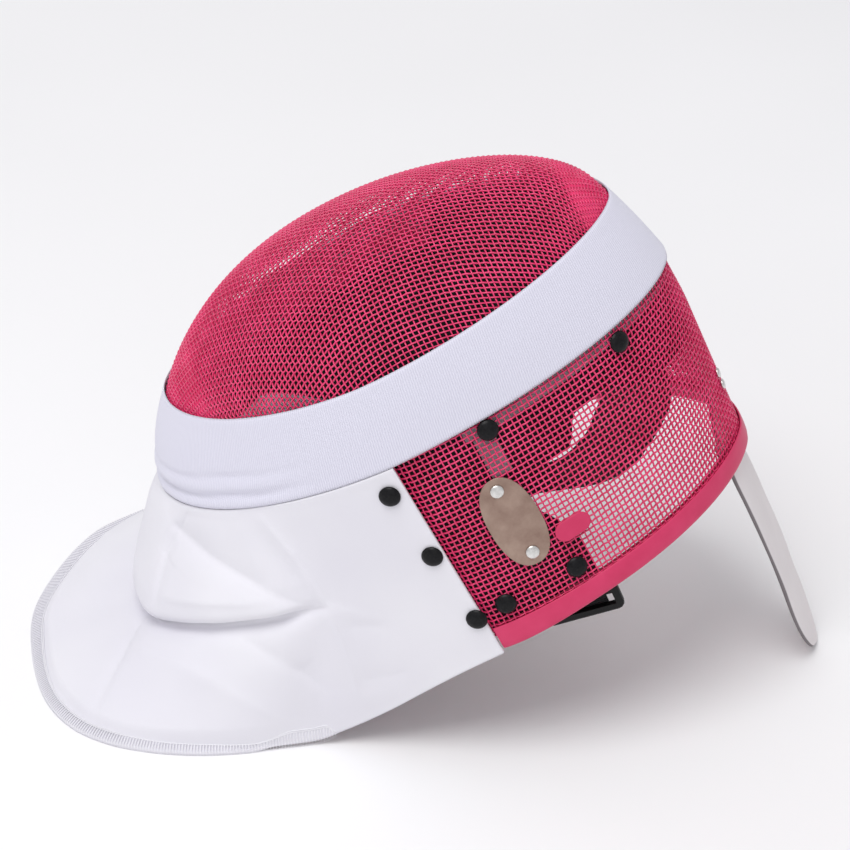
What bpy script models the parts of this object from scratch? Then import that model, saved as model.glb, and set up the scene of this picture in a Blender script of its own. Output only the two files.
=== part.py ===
"""A fencing mask lying face up on its bib and its tongue.

The mask is modelled in its own frame, in millimetres:
  t runs along the face from the chin to the crown,
  s runs towards the wearer's left side,
  n runs from the face towards the opening at the back.
to_world() tilts that frame, sets it at its height above the ground and turns millimetres to metres.
"""
import math

import bmesh
import bpy
import numpy as np
from mathutils import Matrix, Vector

MM = 0.001

# Where the middle of the face oval lies above the ground, and how far the crown end is raised
FACE_TILT = math.radians(28.0)
FACE_HEIGHT = 222.8
FACE_X = -23.3
FACE_Y = 7.8

# Face oval: the upper edge of the trim band
OVAL_HALF_LENGTH = 141.0
OVAL_HALF_WIDTH = 103.5
OVAL_POWER = 1.74
OVAL_CHIN_FULLNESS = -0.05

# Face dome above the oval
DOME_HEIGHT = 53.4
DOME_TOP_T = 7.8
DOME_CHIN_POWERS = (2.63, 1.07)
DOME_CROWN_POWERS = (1.85, 2.19)
DOME_CROSS_POWERS = (1.69, 1.59)

# Trim band, its spread from the upper to the lower edge round the oval
BAND_DEPTH = 46.4
BAND_THICKNESS = 1.4
BAND_SPREAD = (13.9, -8.8, 6.7)
BAND_CROWN = 0.8
CHIN_CROWN = 3.4

# Wire cloth: two crossed wires thick
WIRE_WALL = 2.2
WIRE_UNDER_BAND = 2.1
WIRE_UNDER_BIB = 1.9
WIRE_SPREAD_LIMIT = 12.0
WALL_START = 22.0

# Lower edge of the side wall
RIM_HALF_LENGTH = 142.0
RIM_HALF_WIDTH = 118.9
RIM_CENTRE_T = 1.0
RIM_DEPTH = 156.0
RIM_CROWN_RISE = 3.5
RIM_HEIGHT = 12.4
RIM_RAISE = 0.8
RIM_SLOT_DEPTH = 8.0
RIM_END_DEG = 90.4
RIM_END_GROWTH = 1.6
RIM_LIPS = (1.1, -4.1)
CHEEK_START_DEG = 100.0
CHEEK_END_DEG = 124.0
CHIN_WALL_DEPTH = 58.0

# Bib cloth
BIB_THICKNESS = 2.4
CHIN_CALM = 0.45
HEM_FLAT_ROW = 1.9

# Snap caps
SNAP_RADIUS = 6.2
SNAP_HEIGHT = 2.9
SNAP_STEPS = 10
SEAT_GAP = 0.3

# Plate on the side wall
PLATE_T = 38.6
PLATE_N = 105.2
PLATE_HALF = (14.5, 27.6)
PLATE_POWER = 2.3
PLATE_THICKNESS = 0.8
RIVET_SPACING = 40.6
PLATE_RIVET_RADIUS = 3.8
RIVET_RADIUS = 2.9
RIVET_HEIGHT = 1.4

# Tab beside the plate
TAB_T = 62.6
TAB_N = 125.0
TAB_SIZE = (21.0, 11.5, 1.5)

# Lining inside the wire
LINING_GAP = 2.2
LINING_THICKNESS = 4.0
LINING_EDGE_THICKNESS = 1.0
LINING_EDGE_SPAN = math.radians(74.0)

# Tongue: half width, thickness and the path of its middle, as (t, n) pairs
TONGUE_HALF_WIDTH = 24.5
TONGUE_ROOT_HALF_WIDTH = 14.0
TONGUE_THICKNESS = 4.2
TONGUE_PATH = ((133.6, 160), (131.4, 178), (130.5, 195), (129.1, 215), (127.4, 235), (124.9, 255),
               (122.0, 275), (120.1, 292), (119.1, 305), (118.3, 313.9))
# How far the tongue leans towards the wearer's right at its tip
TONGUE_LEAN = 5.3
TONGUE_ROOT_N = 103.0
TONGUE_TIP = 34.0

# Rear strap and buckle
STRAP_THICKNESS = 1.8
BUCKLE_SIZE = (46.0, 27.0, 4.2)
BUCKLE_T = 41.9
BUCKLE_S = 91.0
BUCKLE_N = 173.0
BUCKLE_BAR = 4.2
BUCKLE_CORNER = 4.0
BUCKLE_TILT = math.radians(22.3)

AROUND = 64


def to_world(t, s, n):
    """A point of the mask's frame, in millimetres, as a world point in metres."""
    x = FACE_X + t * math.cos(FACE_TILT) + n * math.sin(FACE_TILT)
    z = FACE_HEIGHT + t * math.sin(FACE_TILT) - n * math.cos(FACE_TILT)
    return Vector((x, FACE_Y - s, z)) * MM


def smooth(low, high, value):
    """0 below low, 1 above high and a smooth ramp between them."""
    share = min(max((value - low) / (high - low), 0.0), 1.0)
    return share * share * (3.0 - 2.0 * share)


def signed_power(value, power):
    return math.copysign(abs(value) ** power, value)


def oval(theta, half_length=OVAL_HALF_LENGTH, half_width=OVAL_HALF_WIDTH, fullness=OVAL_CHIN_FULLNESS):
    """The face oval at an angle: 0 at the crown, 90 degrees on the wearer's left."""
    across = signed_power(math.sin(theta), 2.0 / OVAL_POWER)
    return (half_length * signed_power(math.cos(theta), 2.0 / OVAL_POWER),
            half_width * across * (1.0 + fullness * math.cos(theta)))


def oval_normal(theta):
    """The outward direction of the oval in its plane."""
    step = 0.02
    before = oval(theta - step)
    after = oval(theta + step)
    dt = after[0] - before[0]
    ds = after[1] - before[1]
    length = math.hypot(dt, ds)
    return ds / length, -dt / length


def rim_oval(theta):
    t, s = oval(theta, RIM_HALF_LENGTH, RIM_HALF_WIDTH, 0.0)
    return t + RIM_CENTRE_T, s


def rim_depth(theta):
    return RIM_DEPTH + RIM_CROWN_RISE * math.cos(theta)


def band_spread(theta):
    base, first, second = BAND_SPREAD
    return base + first * math.cos(theta) + second * math.cos(2.0 * theta)


def shell_point(theta, n, offset=0.0, spread_limit=None):
    """A point on the outside of the mask at depth n, moved outwards by offset."""
    spread = band_spread(theta)
    if spread_limit is not None:
        spread = min(spread, spread_limit)
    top = oval(theta)
    out = oval_normal(theta)
    reach = spread * min(n, BAND_DEPTH) / BAND_DEPTH
    t = top[0] + out[0] * reach
    s = top[1] + out[1] * reach
    if n > BAND_DEPTH:
        share = (n - BAND_DEPTH) / (rim_depth(theta) - BAND_DEPTH)
        rim = rim_oval(theta)
        t += (rim[0] - t) * share
        s += (rim[1] - s) * share
    return t + out[0] * offset, s + out[1] * offset, n


def wire_offset(theta, n):
    """How far inside the mask's outer surface the wire cloth lies."""
    inset = WIRE_UNDER_BAND - 1.9 * smooth(BAND_DEPTH, 80.0, n)
    return -(inset + WIRE_UNDER_BIB * smooth(88.0, 94.0, abs(math.degrees(theta))))


def wire_point(theta, n, inwards=0.0):
    """A point on the outside of the wire wall, or further in."""
    return shell_point(theta, n, wire_offset(theta, n) - inwards, WIRE_SPREAD_LIMIT)


def wall_bottom(theta):
    """Depth of the wire wall's lower edge: full depth at the sides and crown, short at the chin."""
    degrees = abs(math.degrees(theta))
    full = rim_depth(theta) + RIM_SLOT_DEPTH
    return full + (CHIN_WALL_DEPTH - full) * smooth(CHEEK_START_DEG, CHEEK_END_DEG, degrees)


def wall_theta(t, n):
    """The angle on the wearer's left at which the wall has this t."""
    low, high = 0.0, math.pi
    for _ in range(40):
        middle = (low + high) / 2.0
        if shell_point(middle, n)[0] > t:
            low = middle
        else:
            high = middle
    return (low + high) / 2.0


def outward_frame(theta, n):
    """World vectors at a place on the wall: outwards, along the wall, and down it."""
    step = 0.03
    along = to_world(*wire_point(theta - step, n)) - to_world(*wire_point(theta + step, n))
    down = to_world(*wire_point(theta, n + 2.0)) - to_world(*wire_point(theta, n - 2.0))
    along.normalize()
    out = down.cross(along).normalized()
    centre = to_world(0.0, 0.0, n)
    if out.dot(to_world(*wire_point(theta, n)) - centre) < 0.0:
        out.negate()
    down = along.cross(out).normalized()
    if down.z > 0.0:
        down.negate()
    return out, along, down


def new_material(name, colour, roughness, metallic=0.0):
    material = bpy.data.materials.new(name)
    material.use_nodes = True
    shader = material.node_tree.nodes["Principled BSDF"]
    shader.inputs["Base Color"].default_value = (*colour, 1.0)
    shader.inputs["Roughness"].default_value = roughness
    shader.inputs["Metallic"].default_value = metallic
    return material


def clear_scene():
    for item in list(bpy.data.objects):
        bpy.data.objects.remove(item)


def link_mesh(name, mesh, material, collection):
    item = bpy.data.objects.new(name, mesh)
    item.data.materials.append(material)
    collection.objects.link(item)
    return item


def mesh_from_bmesh(name, shape):
    bmesh.ops.recalc_face_normals(shape, faces=shape.faces)
    mesh = bpy.data.meshes.new(name)
    shape.to_mesh(mesh)
    shape.free()
    return mesh


def sheet(name, rows, closed, pole=None):
    """An open surface through rows of points; a closed one joins each row's ends."""
    shape = bmesh.new()
    grid = [[shape.verts.new(point) for point in row] for row in rows]
    for upper, lower in zip(grid, grid[1:]):
        count = len(upper)
        for i in range(count if closed else count - 1):
            after = (i + 1) % count
            shape.faces.new((upper[i], upper[after], lower[after], lower[i]))
    if pole is not None:
        tip = shape.verts.new(pole)
        first = grid[0]
        for i in range(len(first)):
            shape.faces.new((tip, first[(i + 1) % len(first)], first[i]))
    return shape


def face_outwards(shape, centre):
    """Turn an open surface's faces so that they point away from a centre."""
    bmesh.ops.recalc_face_normals(shape, faces=shape.faces)
    total = sum((face.calc_center_median() - centre).dot(face.normal) * face.calc_area()
                for face in shape.faces)
    if total < 0.0:
        bmesh.ops.reverse_faces(shape, faces=shape.faces)


def add_shell(name, rows, closed, thickness, material, collection, pole=None):
    """A wall of even thickness whose outer side goes through the rows."""
    shape = sheet(name, rows, closed, pole)
    face_outwards(shape, to_world(0.0, 0.0, 60.0))
    mesh = bpy.data.meshes.new(name)
    shape.to_mesh(mesh)
    shape.free()
    item = link_mesh(name, mesh, material, collection)
    wall = item.modifiers.new("wall", "SOLIDIFY")
    wall.thickness = thickness * MM
    wall.offset = -1.0
    wall.use_even_offset = True
    item.data.shade_smooth()
    return item


def add_loft(name, sections, material, collection, smooth_angle=40.0):
    """A solid through closed sections of equal length, with a cap at each end."""
    shape = bmesh.new()
    rings = [[shape.verts.new(point) for point in section] for section in sections]
    for first, second in zip(rings, rings[1:]):
        count = len(first)
        for i in range(count):
            after = (i + 1) % count
            shape.faces.new((first[i], first[after], second[after], second[i]))
    shape.faces.new(list(reversed(rings[0])))
    shape.faces.new(rings[-1])
    item = link_mesh(name, mesh_from_bmesh(name, shape), material, collection)
    item.data.shade_smooth()
    item.data.set_sharp_from_angle(angle=math.radians(smooth_angle))
    return item


def theta_steps(count=AROUND):
    return [2.0 * math.pi * i / count - math.pi for i in range(count)]


def dome_height(t, s):
    """Height of the face dome above the oval's plane."""
    if t < DOME_TOP_T:
        share = (DOME_TOP_T - t) / (OVAL_HALF_LENGTH + DOME_TOP_T)
        power, root = DOME_CHIN_POWERS
    else:
        share = (t - DOME_TOP_T) / (OVAL_HALF_LENGTH - DOME_TOP_T)
        power, root = DOME_CROWN_POWERS
    ridge = DOME_HEIGHT * max(1.0 - share ** power, 0.0) ** (1.0 / root)
    level = min(abs(t) / OVAL_HALF_LENGTH, 1.0)
    cosine = level ** (OVAL_POWER / 2.0)
    sine = math.sqrt(max(1.0 - cosine * cosine, 0.0))
    half = OVAL_HALF_WIDTH * sine ** (2.0 / OVAL_POWER)
    half *= 1.0 + OVAL_CHIN_FULLNESS * math.copysign(cosine, t)
    across = min(abs(s) / max(half, 0.001), 1.0)
    power, root = DOME_CROSS_POWERS
    return ridge * (1.0 - across ** power) ** (1.0 / root)


def make_face_mesh(material, collection):
    """The dome, with a short skirt that runs down behind the trim band."""
    rows = []
    for level in np.sin(np.linspace(0.24, 1.0, 6) * math.pi / 2.0):
        row = []
        for theta in theta_steps():
            t, s = oval(theta)
            height = dome_height(t * level * 0.9995, s * level * 0.9995)
            out = oval_normal(theta)
            inset = WIRE_UNDER_BAND * level
            row.append(to_world(t * level - out[0] * inset, s * level - out[1] * inset, -height))
        rows.append(row)
    for depth in (7.0, 16.0):
        rows.append([to_world(*wire_point(theta, depth)) for theta in theta_steps()])
    return add_shell("face_mesh", rows, True, WIRE_WALL, material, collection,
                     to_world(0.0, 0.0, -dome_height(0.0, 0.0)))


def make_side_mesh(material, collection):
    """The wall of wire cloth round the crown and sides, cut back under the bib."""
    rows = []
    for share in (None, 0.0, 0.3, 0.65, 1.0):
        row = []
        for theta in theta_steps():
            depth = WALL_START if share is None else BAND_DEPTH + (wall_bottom(theta) - BAND_DEPTH) * share
            row.append(to_world(*wire_point(theta, depth)))
        rows.append(row)
    return add_shell("side_mesh", rows, True, WIRE_WALL, material, collection)


def band_crown(theta):
    """How far the webbing bulges, more at the chin."""
    return BAND_CROWN + CHIN_CROWN * smooth(128.0, 172.0, abs(math.degrees(theta)))


def make_trim_band(material, collection):
    """The webbing round the face oval, a little crowned across its width."""
    rows = []
    for depth in (-0.8, 2.0, 20.0, 42.0, BAND_DEPTH):
        crown = math.sin(math.pi * min(max(depth / BAND_DEPTH, 0.0), 1.0))
        rows.append([to_world(*shell_point(theta, depth, crown * band_crown(theta)))
                     for theta in theta_steps()])
    return add_shell("trim_band", rows, True, BAND_THICKNESS, material, collection)


def make_rim_binding(material, collection):
    """A channel that takes the lower edge of the wire wall."""
    outer, inner = RIM_LIPS
    slot = RIM_RAISE + RIM_SLOT_DEPTH + 0.5
    profile = ((outer - 1.0, 0.0), (outer - 0.3, 0.0), (outer, 0.4), (outer, RIM_HEIGHT - 0.8),
               (outer - 0.9, RIM_HEIGHT), (inner + 0.9, RIM_HEIGHT), (inner, RIM_HEIGHT - 0.8), (inner, 0.4),
               (inner + 0.3, 0.0), (inner + 1.0, 0.0), (inner + 1.0, slot), (outer - 1.0, slot))
    sections = []
    turns = [theta for theta in theta_steps() if abs(theta) < math.radians(RIM_END_DEG - 1.0)]
    turns = [-math.radians(RIM_END_DEG)] + turns + [math.radians(RIM_END_DEG)]
    for theta in turns:
        growth = smooth(60.0, 88.0, abs(math.degrees(theta)))
        start = rim_depth(theta) - RIM_RAISE * (1.0 - growth)
        stretch = 1.0 + RIM_END_GROWTH * growth / RIM_HEIGHT
        sections.append([to_world(*shell_point(theta, start + down * stretch, out, WIRE_SPREAD_LIMIT))
                         for out, down in profile])
    return add_loft("rim_binding", sections, material, collection)


# Bib stations from the side panel's edge to the chin. Columns: place on the trim band in degrees; a point
# of the fold under the collar (t, s, n); the hem in world axes (x, y, z) from the middle of the face oval,
# on the wearer's left and then on the wearer's right
BIB_STATIONS = (
    (92.6, -2.0, 117.8, 108.0, 80.0, -123.0, -151.0, 80.0, 123.0, -151.0),
    (98.5, -18.0, 117.2, 109.0, 58.0, -122.5, -166.0, 58.0, 122.5, -166.0),
    (104.0, -30.0, 116.6, 110.0, 38.0, -121.5, -181.0, 38.0, 121.5, -181.0),
    (111.0, -45.0, 115.6, 110.0, 20.0, -120.5, -195.0, 20.0, 120.5, -195.0),
    (117.5, -59.0, 114.4, 110.0, 4.0, -120.0, -206.0, 4.0, 119.0, -206.0),
    (124.0, -72.0, 113.0, 110.5, -10.0, -120.5, -214.0, -10.0, 118.0, -214.0),
    (130.0, -84.0, 111.0, 110.5, -23.0, -122.5, -219.5, -24.0, 118.0, -219.5),
    (136.0, -104.0, 111.5, 108.5, -42.0, -128.0, -220.4, -42.0, 119.5, -220.4),
    (142.0, -124.0, 108.5, 106.5, -60.0, -134.0, -220.4, -60.0, 121.5, -220.4),
    (148.0, -143.0, 103.0, 105.0, -78.0, -138.0, -220.4, -80.0, 122.0, -220.4),
    (154.0, -162.0, 94.0, 104.5, -98.0, -140.0, -220.4, -102.0, 120.0, -220.4),
    (160.0, -179.0, 83.0, 104.5, -120.0, -139.0, -220.4, -125.0, 115.0, -220.4),
    (165.0, -194.0, 69.0, 105.0, -142.0, -134.0, -220.4, -147.0, 106.0, -220.4),
    (170.0, -204.5, 51.0, 105.5, -164.0, -121.5, -220.4, -169.0, 88.0, -220.4),
    (174.0, -212.5, 32.0, 106.5, -183.0, -98.0, -220.4, -187.0, 66.0, -220.4),
    (177.2, -218.0, 14.0, 107.5, -198.0, -60.0, -220.4, -200.0, 28.0, -220.4),
    (180.0, -220.5, 0.0, 108.0, -206.0, -17.0, -220.4, -206.0, -17.0, -220.4),
)
# Columns of the cloth: at which station each one stands. The far side repeats them
BIB_COLUMNS = (0, 1.5, 3, 4.4, 5.2, 5.8, 6.3, 6.8, 7.6, 8.5, 9.5, 10.4, 11.2, 12, 12.7, 13.4, 14.1, 14.8,
               15.4, 16)
# Rows down the cloth. Columns: share of the way from the band to the fold under the collar, or past 1 from
# there to the hem; how far out the throat pouch stands there; how far the side panel does
BIB_ROWS = (
    (0.0, 0.0, 0.0),
    (0.12, 3.0, 0.2),
    (0.35, 5.5, 0.2),
    (0.58, 8.0, 0.2),
    (0.76, 9.2, 0.2),
    (0.91, 6.4, 0.1),
    (1.0, -1.4, 0.0),
    (1.08, 1.6, 0.1),
    (1.3, 3.0, 0.3),
    (1.6, 2.4, 0.5),
    (1.83, 0.8, 0.3),
    (1.9, 0.3, 0.1),
    (1.95, 0.0, 0.0),
    (2.0, 0.0, 0.0),
)
# Folds in the cloth. Columns: start (station, row), end (station, row), height in mm (below zero is a
# valley) and half width in mm
BIB_FOLDS = (
    (5.8, 0.05, 5.75, 0.72, 1.6, 5.0),
    (5.75, 0.72, 5.8, 1.0, 1.6, 5.0),
    (5.8, 1.0, 4.6, 1.48, 1.2, 6.0),
    (6.8, 0.1, 6.7, 0.7, -2.6, 6.0),
    (10.4, 0.22, 8.6, 0.42, -5.6, 8.0),
    (8.6, 0.42, 6.6, 0.82, -6.0, 8.0),
    (10.7, 0.28, 11.4, 0.78, -3.8, 6.0),
    (12.9, 1.06, 12.6, 1.88, -2.6, 6.0),
    (8.2, 1.15, 6.4, 1.4, -2.2, 8.0),
    (8.0, 1.4, 6.0, 1.68, 1.2, 9.0),
    (4.3, 1.22, 3.2, 1.3, -1.2, 8.0),
    (3.8, 1.68, 2.6, 1.75, -0.8, 8.0),
)


def world_offset(x, y, z):
    """A point given from the middle of the face oval in world axes, in metres in the scene."""
    return Vector((FACE_X + x, FACE_Y + y, FACE_HEIGHT + z)) * MM


def through(values, place):
    """A smooth curve through evenly spaced values, read at a place between them."""
    index = min(int(place), len(values) - 2)
    share = place - index
    before = values[max(index - 1, 0)]
    start = values[index]
    end = values[index + 1]
    after = values[min(index + 2, len(values) - 1)]
    rise = (end - before) / 2.0
    fall = (after - start) / 2.0
    square = share * share
    cube = square * share
    return (start * (2.0 * cube - 3.0 * square + 1.0) + rise * (cube - 2.0 * square + share)
            + end * (3.0 * square - 2.0 * cube) + fall * (cube - square))


def bib_stations():
    """Band, fold and hem points and the pouch share at every station, near edge to far edge."""
    last = len(BIB_STATIONS) - 1
    stations = []
    for index in range(2 * last + 1):
        side = 1 if index <= last else -1
        row = BIB_STATIONS[last - abs(index - last)]
        theta = math.radians(row[0]) * side
        hem = row[4:7] if side > 0 else row[7:10]
        stations.append((to_world(*shell_point(theta, BAND_DEPTH + 0.6, -0.3)),
                         to_world(row[1], row[2] * side, row[3]),
                         world_offset(*hem),
                         smooth(127.0, 137.0, row[0])))
    return stations


def bib_base(stations, place, row):
    """The cloth at a station and row before its small folds."""
    band = through([item[0] for item in stations], place)
    fold = through([item[1] for item in stations], place)
    hem = through([item[2] for item in stations], place)
    pouch = min(max(through([item[3] for item in stations], place), 0.0), 1.0)
    out = fold - world_offset(-70.0, 0.0, -150.0)
    out.z = 0.0
    out.normalize()
    shares = [item[0] for item in BIB_ROWS]
    stand = np.interp(row, shares, [item[2] for item in BIB_ROWS])
    stand += (np.interp(row, shares, [item[1] for item in BIB_ROWS]) - stand) * pouch
    middle = (len(stations) - 1) / 2.0
    stand *= 1.0 - CHIN_CALM * (1.0 - smooth(0.5, 4.0, abs(place - middle)))
    if row <= 1.0:
        return band.lerp(fold, row) + out * (stand * MM), out
    out = (out + Vector((0.0, 0.0, 0.5 * pouch))).normalized()
    return fold.lerp(hem, row - 1.0) + out * (stand * MM), out


def distance_to_run(point, start, end):
    run = end - start
    share = min(max((point - start).dot(run) / run.dot(run), 0.0), 1.0)
    return (point - start - run * share).length


def bib_point(stations, place, row):
    """A point on the outside of the bib."""
    last = len(stations) - 1
    point, out = bib_base(stations, place, row)
    height = 0.0
    calm = smooth(0.0, 0.12, row) * (1.0 - smooth(1.8, 2.0, row))
    for start_place, start_row, end_place, end_row, rise, width in BIB_FOLDS:
        if place > last / 2.0:
            start_place = last - start_place
            end_place = last - end_place
        start = bib_base(stations, start_place, start_row)[0]
        end = bib_base(stations, end_place, end_row)[0]
        away = distance_to_run(point, start, end) / (width * MM)
        height += rise * math.exp(-away * away)
    point += out * (height * calm * MM)
    hem = bib_base(stations, place, 2.0)[0]
    grounded = smooth(6.0, 8.0, min(place, last - place)) * smooth(HEM_FLAT_ROW - 0.08, HEM_FLAT_ROW, row)
    point.z += (hem.z - point.z) * grounded
    return point


def make_bib(material, collection):
    """The cloth from the near panel's edge round the chin to the far panel's edge."""
    stations = bib_stations()
    last = len(stations) - 1
    places = list(BIB_COLUMNS) + [last - place for place in reversed(BIB_COLUMNS[:-1])]
    rows = [[bib_point(stations, place, row[0]) for place in places] for row in BIB_ROWS]
    shape = sheet("bib", rows, False)
    face_outwards(shape, world_offset(-60.0, 0.0, -150.0))
    mesh = bpy.data.meshes.new("bib")
    shape.to_mesh(mesh)
    shape.free()
    item = link_mesh("bib", mesh, material, collection)
    wall = item.modifiers.new("wall", "SOLIDIFY")
    wall.thickness = BIB_THICKNESS * MM
    wall.offset = -1.0
    item.data.shade_smooth()
    return item


def turned_cap(name, radius, height, segments, material, collection):
    """A shallow round head with a flat back in the plane of its origin."""
    profile = ((0.0, 0.55), (0.62, 0.47), (0.88, 0.3), (1.0, 0.12), (1.0, 0.0))
    shape = bmesh.new()
    points = [Vector((radius * across, 0.0, height * up / 0.55)) * MM for across, up in profile]
    points.append(Vector((0.0, 0.0, 0.0)))
    verts = [shape.verts.new(point) for point in points]
    edges = [shape.edges.new(pair) for pair in zip(verts, verts[1:])]
    bmesh.ops.spin(shape, geom=verts + edges, cent=(0, 0, 0), axis=(0, 0, 1),
                   angle=2.0 * math.pi, steps=segments)
    bmesh.ops.remove_doubles(shape, verts=shape.verts, dist=0.00002)
    item = link_mesh(name, mesh_from_bmesh(name, shape), material, collection)
    item.data.shade_smooth()
    item.data.set_sharp_from_angle(angle=math.radians(50.0))
    return item


def placed_matrix(place, out, along):
    out = out.normalized()
    along = (along - out * along.dot(out)).normalized()
    third = out.cross(along)
    return Matrix(((along.x, third.x, out.x, place.x),
                   (along.y, third.y, out.y, place.y),
                   (along.z, third.z, out.z, place.z),
                   (0.0, 0.0, 0.0, 1.0)))


# Snap caps on the wire, as (degrees round the wall, depth n, height of the seat above the wire)
MESH_SNAPS = ((67.4, 53.1, 0.6), (32.0, 55.5, 0.5), (64.5, 146.5, 0.5), (83.0, 145.5, 0.5))
# Snap caps on the bib's side panel, as (station, row)
BIB_SNAPS = ((0.72, 0.22), (0.45, 0.89), (0.2, 1.59))


def make_mesh_snaps(material, collection):
    for side, name in ((1, "near"), (-1, "far")):
        for number, (degrees, depth, lift) in enumerate(MESH_SNAPS, 1):
            theta = math.radians(degrees) * side
            out, along, _ = outward_frame(theta, depth)
            place = to_world(*wire_point(theta, depth)) + out * (lift * MM)
            cap = turned_cap(f"mesh_snap_{name}_{number}", SNAP_RADIUS, SNAP_HEIGHT, SNAP_STEPS,
                             material, collection)
            cap.matrix_world = placed_matrix(place, out, along)


def make_bib_snaps(material, collection):
    stations = bib_stations()
    last = len(stations) - 1
    for side, name in ((1, "near"), (-1, "far")):
        for number, (place, row) in enumerate(BIB_SNAPS, 1):
            if side < 0:
                place = last - place
            centre = bib_point(stations, place, row)
            along = bib_point(stations, place + 0.3, row) - bib_point(stations, place - 0.3, row)
            down = bib_point(stations, place, row + 0.05) - bib_point(stations, place, row - 0.05)
            out = along.cross(down).normalized()
            if out.y * side > 0.0:
                out.negate()
            cap = turned_cap(f"bib_snap_{name}_{number}", SNAP_RADIUS, SNAP_HEIGHT, SNAP_STEPS,
                             material, collection)
            cap.matrix_world = placed_matrix(centre + out * (0.5 * MM), out, along)


def outline_plate(name, outline, thickness, material, collection):
    """A flat plate from an outline in its own plane, its back at z = 0."""
    shape = bmesh.new()
    verts = [shape.verts.new((x * MM, y * MM, 0.0)) for x, y in outline]
    face = shape.faces.new(verts)
    lifted = bmesh.ops.extrude_face_region(shape, geom=[face])
    moved = [part for part in lifted["geom"] if isinstance(part, bmesh.types.BMVert)]
    bmesh.ops.translate(shape, verts=moved, vec=(0.0, 0.0, thickness * MM))
    return link_mesh(name, mesh_from_bmesh(name, shape), material, collection)


def make_id_plate(plate_material, rivet_material, collection):
    """A bare oval plate with its long way down the wall, held by two rivets."""
    theta = wall_theta(PLATE_T, PLATE_N)
    out, along, down = outward_frame(theta, PLATE_N)
    half_along, half_down = PLATE_HALF
    outline = []
    for i in range(36):
        angle = 2.0 * math.pi * i / 36
        outline.append((half_along * signed_power(math.cos(angle), 2.0 / PLATE_POWER),
                        half_down * signed_power(math.sin(angle), 2.0 / PLATE_POWER)))
    place = to_world(*wire_point(theta, PLATE_N)) + out * (0.5 * MM)
    plate = outline_plate("id_plate", outline, PLATE_THICKNESS, plate_material, collection)
    plate.matrix_world = placed_matrix(place, out, along)
    top = place + out * ((PLATE_THICKNESS + SEAT_GAP) * MM)
    for number, sign in ((1, -1.0), (2, 1.0)):
        rivet = turned_cap(f"id_rivet_{number}", PLATE_RIVET_RADIUS, RIVET_HEIGHT, 10, rivet_material,
                           collection)
        spot = top + down * (sign * RIVET_SPACING / 2.0 * MM)
        rivet.matrix_world = placed_matrix(spot, out, along)


def make_strap_tab(material, collection):
    """A pill shaped tab that lies on the wire beside the plate."""
    theta = wall_theta(TAB_T, TAB_N)
    out, along, _ = outward_frame(theta, TAB_N)
    length, width, thickness = TAB_SIZE
    radius = width / 2.0
    outline = []
    for end, start_angle in ((1.0, -90.0), (-1.0, 90.0)):
        for i in range(9):
            angle = math.radians(start_angle + 22.5 * i)
            outline.append((end * (length / 2.0 - radius) + radius * math.cos(angle),
                            radius * math.sin(angle)))
    place = to_world(*wire_point(theta, TAB_N)) + out * (0.6 * MM)
    tab = outline_plate("strap_tab", outline, thickness, material, collection)
    tab.matrix_world = placed_matrix(place, out, along)


def lining_top(theta):
    """The lining reaches the dome at the crown and the chin, and stops lower at the sides."""
    degrees = abs(math.degrees(theta))
    return 5.0 + 25.0 * smooth(78.0, 88.0, degrees) * (1.0 - smooth(142.0, 152.0, degrees))


def lining_bottom(theta):
    """The lining is shallow behind the crown, deep over the ears and short at the chin."""
    degrees = abs(math.degrees(theta))
    depth = 90.0 - 17.0 * smooth(25.0, 43.0, degrees) + 14.0 * smooth(48.5, 53.5, degrees)
    depth += (161.0 - 87.0) * smooth(65.0, 69.0, degrees)
    short = CHIN_WALL_DEPTH - 4.0 + 38.0 * (1.0 - smooth(128.0, 150.0, degrees))
    return depth + (short - 161.0) * smooth(CHEEK_START_DEG, CHEEK_END_DEG, degrees)


def make_lining(material, collection):
    rows = []
    for share in (-1.0, 0.0, 0.3, 0.65, 1.0):
        row = []
        for theta in theta_steps():
            end = lining_top(theta) if share < 0.0 else lining_bottom(theta)
            depth = BAND_DEPTH + (end - BAND_DEPTH) * abs(share)
            row.append(to_world(*wire_point(theta, depth, WIRE_WALL + LINING_GAP)))
        rows.append(row)
    return add_shell("lining", rows, True, LINING_THICKNESS, material, collection)


def make_lining_trims(material, collection):
    """The grey edging under the trim band, and a strap from the first snap to the plate."""
    inwards = WIRE_WALL + 0.5
    rows = []
    for depth in (BAND_DEPTH, 51.0, 55.5):
        rows.append([to_world(*wire_point(theta, depth, inwards))
                     for theta in theta_steps() if abs(theta) < LINING_EDGE_SPAN])
    add_shell("lining_edge", rows, False, LINING_EDGE_THICKNESS, material, collection)
    for side, name in ((1, "near"), (-1, "far")):
        rows = []
        for depth in (56.2, 68.0, 80.0):
            rows.append([to_world(*wire_point(math.radians(degrees) * side, depth, inwards))
                         for degrees in (66.5, 69.0, 71.5)])
        add_shell(f"lining_strap_{name}", rows, False, LINING_EDGE_THICKNESS, material, collection)


def tongue_middle(n):
    """The tongue's t at a depth, from its path."""
    depths = [point[1] for point in TONGUE_PATH]
    places = [point[0] for point in TONGUE_PATH]
    return float(np.interp(n, depths, places))


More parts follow.
